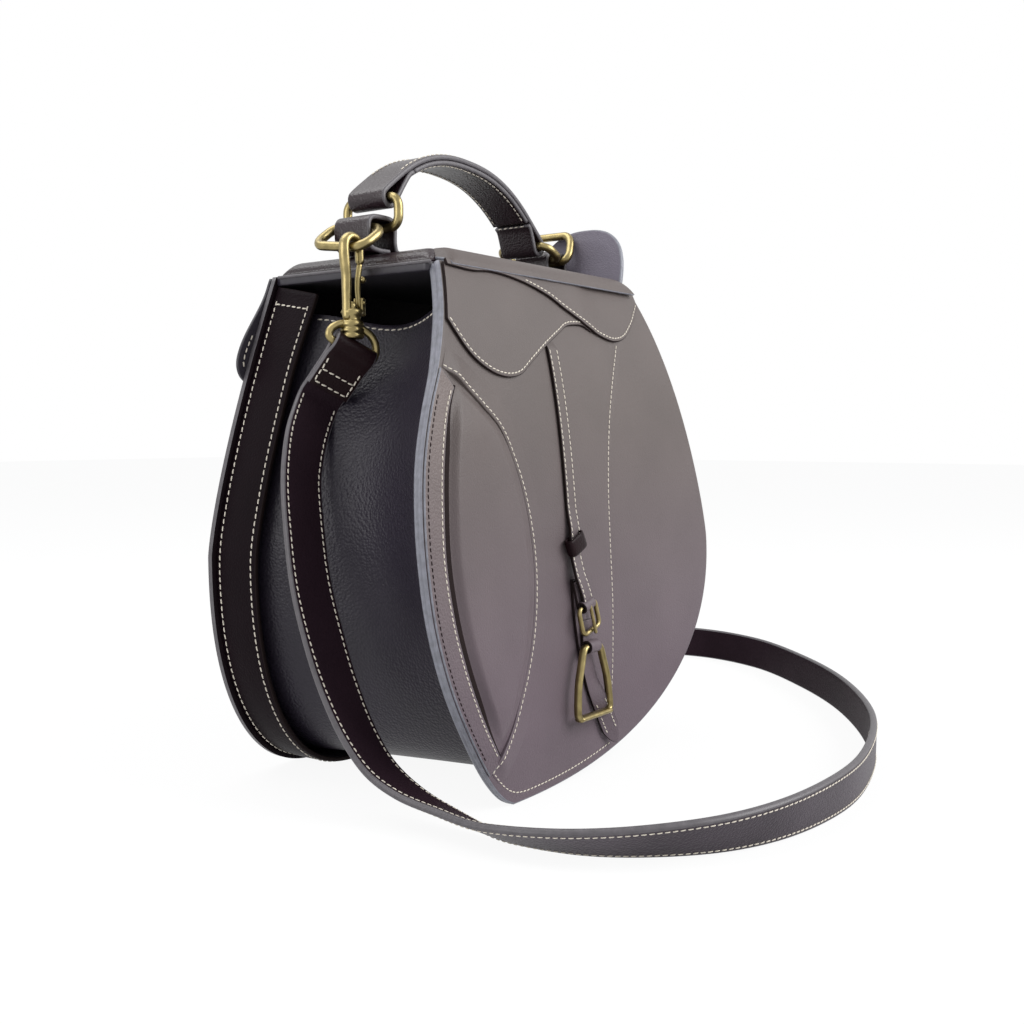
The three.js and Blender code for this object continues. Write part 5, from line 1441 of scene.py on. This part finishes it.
def build_hook(side, wire, along, tangent, bar):
    """One snap hook with its gate, pin and swivel; flat lines are across it and up from its foot."""
    up = -along
    across = np.cross(tangent, up)
    base = wire - up * HOOK_TO_WIRE

    def placed(line):
        """Points of a flat line on this hook."""
        return base + line[:, :1] * across + line[:, 1:] * up

    clip = "clip_" + side
    turn = np.linspace(math.pi, -0.15, 26)
    high = np.linspace(10, 40, 14)
    shank = np.stack([-3.5 - 1.3 * smooth(high, 27, 38), high], 1)
    arc = np.stack([4.8 * np.cos(turn), HOOK_CROWN + 4.8 * np.sin(turn)], 1)
    line = spline(np.vstack([shank, arc, HOOK_NOSE])[::2], 90)
    heavy = 1.75 + 0.35 * np.sin(np.linspace(0, math.pi, 90)) ** 2
    parts = [tube_parts(placed(line), heavy, sides=18, flat=(1.0, 1.25), start=across)]
    parts.append(lathe_parts(HOOK_FOOT, base, up))
    fork = placed(np.stack([np.full(8, 4.9), np.linspace(11, 18, 8)], 1))
    for cheek in (-2.05, 2.05):
        parts.append(tube_parts(fork + tangent * cheek, 0.75, sides=12, flat=(2.0, 1.0), start=across))
    brass_piece("hook_" + side + "_brass", parts, clip, "hook_" + side)
    knob = np.stack([np.linspace(4.6, 7.6, 8), np.linspace(26.4, 27.2, 8)], 1)
    parts = [
        tube_parts(placed(spline(GATE_LEVER, 40)), 1.35, sides=16),
        tube_parts(placed(knob), KNOB_SIZES, sides=16),
    ]
    brass_piece("gate_" + side + "_brass", parts, "gate_" + side, "hook_gate_" + side)
    pin = placed(np.array([[4.8, 16.4]])) + np.linspace(-2.75, 2.75, 6)[:, None] * tangent
    brass_tube("pin_" + side + "_brass", pin, 0.8, clip, "gate_pin_" + side, sides=14)
    line = spline(SWIVEL_EYE, 120, closed=True)[:-1]
    line[:, 0] *= np.where(line[:, 0] < 0, 0.78, 1.0)
    rise = unit(up - bar * up.dot(bar))
    eye = base + SWIVEL_BAR * up + line[:, :1] * bar + line[:, 1:] * rise
    stem = base + np.linspace(-2.0, 14.4, 10)[:, None] * up
    parts = [tube_parts(eye, 1.8, closed=True), tube_parts(stem, STEM_SIZES, sides=16)]
    brass_piece("swivel_" + side + "_brass", parts, "root", "swivel_eye_" + side)


def build_hooks():
    """Strap rings, snap hooks with gates and swivels."""
    build_strap_rings()
    for side, place in hook_places().items():
        build_hook(side, *place)


# Shoulder strap


def strap_ends():
    """Bar centres and directions of both swivels, where the strap's folds hang."""
    ends = {}
    for side, (wire, along, _, bar) in hook_places().items():
        ends[side] = (wire + along * (HOOK_TO_WIRE - SWIVEL_BAR), bar)
    return ends


def fold_frame(side):
    """Bar centre and direction, the way down the fold, and the way the strap's face looks there."""
    centre, bar = strap_ends()[side]
    if side == "left":
        hang = np.array(LEFT_FOLD_WAY)
        hang = unit(hang - bar * hang.dot(bar))
        return centre, bar, hang, np.cross(bar, hang)
    return centre, bar, np.array([0, 0, -1.0]), np.array([bar[1], -bar[0], 0.0])


def eased(rows, window):
    """Rows averaged along a line with a bell-shaped window."""
    bell = np.hanning(window)
    reach = window // 2
    padded = np.pad(rows, ((reach, reach), (0, 0)), mode="edge")
    return np.stack([np.convolve(column, bell / bell.sum(), mode="valid") for column in padded.T], -1)


def strap_line():
    """The strap's middle line and the way its face looks."""
    ends = []
    faces = []
    for side in ("left", "right"):
        centre, _, hang, out = fold_frame(side)
        ends.append([centre + hang * d - out * FOLD_BACK for d in (5.0, 13.0, FOLD_LONG, FOLD_LONG + 6)])
        faces.append(out)
    hung = [(*point, 0) for point in ends[0] + STRAP_LEFT_HANG]
    rising = [(*point, 0) for point in STRAP_RIGHT_HANG + ends[1][::-1]]
    route = np.array(hung + STRAP_FLOOR + rising, float)
    route[:, 3] = np.radians(route[:, 3])
    path = spline(route, STRAP_ROWS)
    lean = path[:, 3:]
    path = path[:, :3]
    t = tangents(path)
    level = unit(np.stack([t[:, 1], -t[:, 0], np.zeros(STRAP_ROWS)], -1))
    level = np.array([0, 0, 1.0]) * np.sin(lean) - level * np.cos(lean)
    left_half = np.arange(STRAP_ROWS)[:, None] < STRAP_ROWS // 2
    hang = np.where(left_half, smooth(path[:, 2:], 4, 60), smooth(path[:, 2:], 15, 70))
    tipped = smooth(path[:, 2], 140, 178)[:, None]
    left_out = np.array([-0.15, -0.98, 0]) * (1 - tipped) + faces[0] * tipped
    target = np.where(left_half, left_out, -faces[1])
    out = level * (1 - hang) + target * hang
    out = square_to(out, t)
    high = smooth(path[:, 2:], 90, 120)
    out = out * high + eased(out, 53) * (1 - high)
    return path, square_to(out, t)


def build_strap():
    """Shoulder strap with stitched edges and its turned ends."""
    path, out = strap_line()
    looks = finishes("strap_face", "strap_edge", "strap")
    points, faces, slots = band_parts(path, out, STRAP_WIDE, STRAP_THICK, 0.9)
    # The back, quads 14 to 19 round the section, has a leather of its own
    slots[:-2].reshape(STRAP_ROWS - 1, -1)[:, 14:20] = 2
    obj = add_mesh("shoulder_strap_leather", points, faces, looks, slots)
    put(obj, "root", ["shoulder_strap"])
    across = np.cross(tangents(path), out)
    lines = []
    for side in (-STRAP_SEAM, STRAP_SEAM):
        for face, shown in ((1, slice(12, 260)), (-1, slice(12, -12))):
            line = path + across * side + out * face * (STRAP_THICK / 2 + 0.05)
            lines.append((line[shown], face * out[shown]))
    extra = [sew("strap_thread", lines, "root", 0.9)]
    for side in ("left", "right"):
        extra += build_fold(side)
    row = path.copy()
    row[:, 1] += Y_SHIFT
    row = row * MM


def build_fold(side):
    """The strap's end turned round the swivel's bar and sewn down with a box of stitches."""
    centre, bar, hang, facing = fold_frame(side)
    turn = np.linspace(-0.5, math.pi + 0.5, 34)
    loop = np.stack([FOLD_TURN * np.cos(turn), FOLD_TURN * np.sin(turn)], 1)
    front = np.stack([np.full(9, 1.7), np.linspace(-FOLD_LONG, -6.0, 9)], 1)
    back = np.array([[-FOLD_BACK, -5.5], [-FOLD_BACK, -9.0]])
    flat = spline(np.vstack([front, loop[::3], back]), 130)
    path = centre + flat[:, :1] * facing - flat[:, 1:] * hang
    out = np.cross(tangents(path), bar)
    if np.dot(out[0], facing) < 0:
        out = -out
    obj = band("fold_" + side, path, out, STRAP_WIDE, FOLD_THICK, finishes("brown", "strap_edge"), 0.8)
    put(obj, "root", ["strap_fold_" + side])
    lines = []
    normal = np.tile(facing, (12, 1))
    rise = facing * 3.28
    for edge in (-STRAP_SEAM, STRAP_SEAM):
        down = np.linspace(7.0, FOLD_LONG - 2.0, 12)[:, None]
        lines.append((centre + bar * edge + hang * down + rise, normal))
    aside_way = np.linspace(-STRAP_SEAM, STRAP_SEAM, 12)[:, None]
    for down in (FOLD_LONG - 2.0, FOLD_LONG - 8.5):
        lines.append((centre + aside_way * bar + hang * down + rise, normal))
    return [obj, sew("fold_thread_" + side, lines, "root")]


# Stage


def seen_rays(tree):
    """A socket that is 1 for rays to the camera, in gloss and through glass."""
    sight = add_node(tree, "LightPath")
    total = sight.outputs["Is Camera Ray"]
    for kind in ("Is Glossy Ray", "Is Transmission Ray"):
        either = add_node(tree, "Math", use_clamp=True)
        tree.links.new(total, either.inputs[0])
        tree.links.new(sight.outputs[kind], either.inputs[1])
        total = either.outputs[0]
    return total


def show_as(tree, share, lit, seen, end):
    """Mix two shaders into an end node: a share of the seen one, the rest of the lit one."""
    mix = add_node(tree, "MixShader")
    tree.links.new(share, mix.inputs["Fac"])
    tree.links.new(lit.outputs[0], mix.inputs[1])
    tree.links.new(seen.outputs[0], mix.inputs[2])
    tree.links.new(mix.outputs["Shader"], end.inputs["Surface"])


def build_floor():
    """Floor that looks nearly white and still takes a faint shadow."""
    mesh = bpy.data.meshes.new("floor")
    mesh.from_pydata([(-6, -6, 0), (6, -6, 0), (6, 6, 0), (-6, 6, 0)], [], [(0, 1, 2, 3)])
    floor = bpy.data.objects.new("floor", mesh)
    bpy.context.scene.collection.objects.link(floor)
    made, tree, shader = node_material("stage_floor")
    shader.inputs["Base Color"].default_value = (0.9, 0.9, 0.9, 1)
    shader.inputs["Roughness"].default_value = 0.9
    white = add_node(tree, "Emission", {"Color": (1, 1, 1, 1)})
    glow = add_node(tree, "Math", {1: bpy.context.scene.bag_stage.glow}, operation="MULTIPLY")
    tree.links.new(seen_rays(tree), glow.inputs[0])
    show_as(tree, glow.outputs[0], shader, white, tree.nodes["Material Output"])
    mesh.materials.append(made)


def build_world():
    """White background that lights the bag with less strength than it shows."""
    scene = bpy.context.scene
    world = bpy.data.worlds.new("studio")
    world.use_nodes = True
    tree = world.node_tree
    seen = tree.nodes["Background"]
    seen.inputs["Color"].default_value = (1, 1, 1, 1)
    sky = {"Color": (0.96, 0.98, 1, 1), "Strength": scene.bag_stage.sky}
    lit = add_node(tree, "Background", sky)
    show_as(tree, seen_rays(tree), lit, seen, tree.nodes["World Output"])
    scene.world = world


def build_stage():
    """Floor, light and camera."""
    scene = bpy.context.scene
    stage = scene.bag_stage
    build_floor()
    build_world()
    for name, place, size, power in (
        ("key", (0.5, -1.1, 0.85), 1.0, stage.key),
        ("top", (-0.3, 0.6, 1.6), 1.2, stage.key * 0.7),
        ("side", (-1.2, 0.35, 0.5), 0.7, stage.key * 0.25),
    ):
        light = bpy.data.lights.new(name, "AREA")
        light.size = size
        light.energy = power
        lamp = bpy.data.objects.new(name, light)
        lamp.location = place
        toward = Vector((0, 0, 0.12)) - Vector(place)
        lamp.rotation_euler = toward.to_track_quat("-Z", "Y").to_euler()
        scene.collection.objects.link(lamp)
    camera = bpy.data.cameras.new("camera")
    camera.lens = stage.lens
    camera.sensor_width = 36
    camera.clip_start = 0.01
    eye = bpy.data.objects.new("camera", camera)
    eye.location = [stage.place[0] * MM, (stage.place[1] + Y_SHIFT) * MM, stage.place[2] * MM]
    eye.rotation_euler = (math.radians(90 - stage.pitch), 0, math.radians(-stage.yaw))
    scene.collection.objects.link(eye)
    scene.camera = eye
    scene.view_settings.view_transform = "Standard"


# Operators


class BAG_OT_flap(bpy.types.Operator):
    """Build the flap with its skirts, knee roll and stirrup trim"""

    bl_idname = "bag.flap"
    bl_label = "Flap"

    def execute(self, context):
        build_flap()
        build_skirts()
        build_knee_roll()
        build_stirrup_trim()
        return {"FINISHED"}


class BAG_OT_body(bpy.types.Operator):
    """Build the panels, gusset, lid, seat and cantle"""

    bl_idname = "bag.body"
    bl_label = "Body"

    def execute(self, context):
        build_panels()
        build_gusset()
        build_lid()
        return {"FINISHED"}


class BAG_OT_handle(bpy.types.Operator):
    """Build the handle, its rings and chapes"""

    bl_idname = "bag.handle"
    bl_label = "Handle"

    def execute(self, context):
        build_handle()
        return {"FINISHED"}


class BAG_OT_strap(bpy.types.Operator):
    """Build the shoulder strap with its hooks and rings"""

    bl_idname = "bag.strap"
    bl_label = "Shoulder strap"

    def execute(self, context):
        build_hooks()
        build_strap()
        return {"FINISHED"}


class BAG_OT_finish_frame(bpy.types.Operator):
    """Give the magnetic snap, whose halves stay CAD pieces, its steel"""

    bl_idname = "bag.finish_frame"
    bl_label = "Magnetic snap"

    def execute(self, context):
        for name in ("snap_flap_half", "snap_front_half"):
            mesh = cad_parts[name].data
            mesh.materials.clear()
            mesh.materials.append(material("steel"))
        return {"FINISHED"}


class BAG_OT_stage(bpy.types.Operator):
    """Set up the floor, light and camera"""

    bl_idname = "bag.stage"
    bl_label = "Stage"

    def execute(self, context):
        build_stage()
        return {"FINISHED"}


class BAG_PT_panel(bpy.types.Panel):
    """Buttons and settings for the bag's pieces"""

    bl_idname = "BAG_PT_panel"
    bl_label = "Top handle bag"
    bl_space_type = "VIEW_3D"
    bl_region_type = "UI"
    bl_category = "Bag"

    def draw(self, context):
        layout = self.layout
        for operator in OPERATORS:
            layout.operator(operator.bl_idname)
        for settings, name in SETTINGS:
            for prop in settings.__annotations__:
                layout.prop(getattr(context.scene, name), prop)


SETTINGS = ((BagColours, "bag_colours"), (BagSewing, "bag_sewing"), (BagStage, "bag_stage"))
OPERATORS = (BAG_OT_flap, BAG_OT_body, BAG_OT_handle, BAG_OT_strap, BAG_OT_finish_frame, BAG_OT_stage)


def register():
    """Add the settings, operators and panel."""
    for settings, name in SETTINGS:
        bpy.utils.register_class(settings)
        setattr(bpy.types.Scene, name, bpy.props.PointerProperty(type=settings))
    for operator in OPERATORS:
        bpy.utils.register_class(operator)
    bpy.utils.register_class(BAG_PT_panel)


def unregister():
    """Remove the panel, operators and settings."""
    bpy.utils.unregister_class(BAG_PT_panel)
    for operator in reversed(OPERATORS):
        bpy.utils.unregister_class(operator)
    for settings, name in reversed(SETTINGS):
        delattr(bpy.types.Scene, name)
        bpy.utils.unregister_class(settings)


def main():
    """Build the bag and its stage."""
    register()
    bpy.ops.bag.flap()
    bpy.ops.bag.body()
    bpy.ops.bag.handle()
    bpy.ops.bag.strap()
    bpy.ops.bag.finish_frame()
    bpy.ops.bag.stage()
    bpy.context.view_layer.update()


if __name__ == "__main__":
    main()
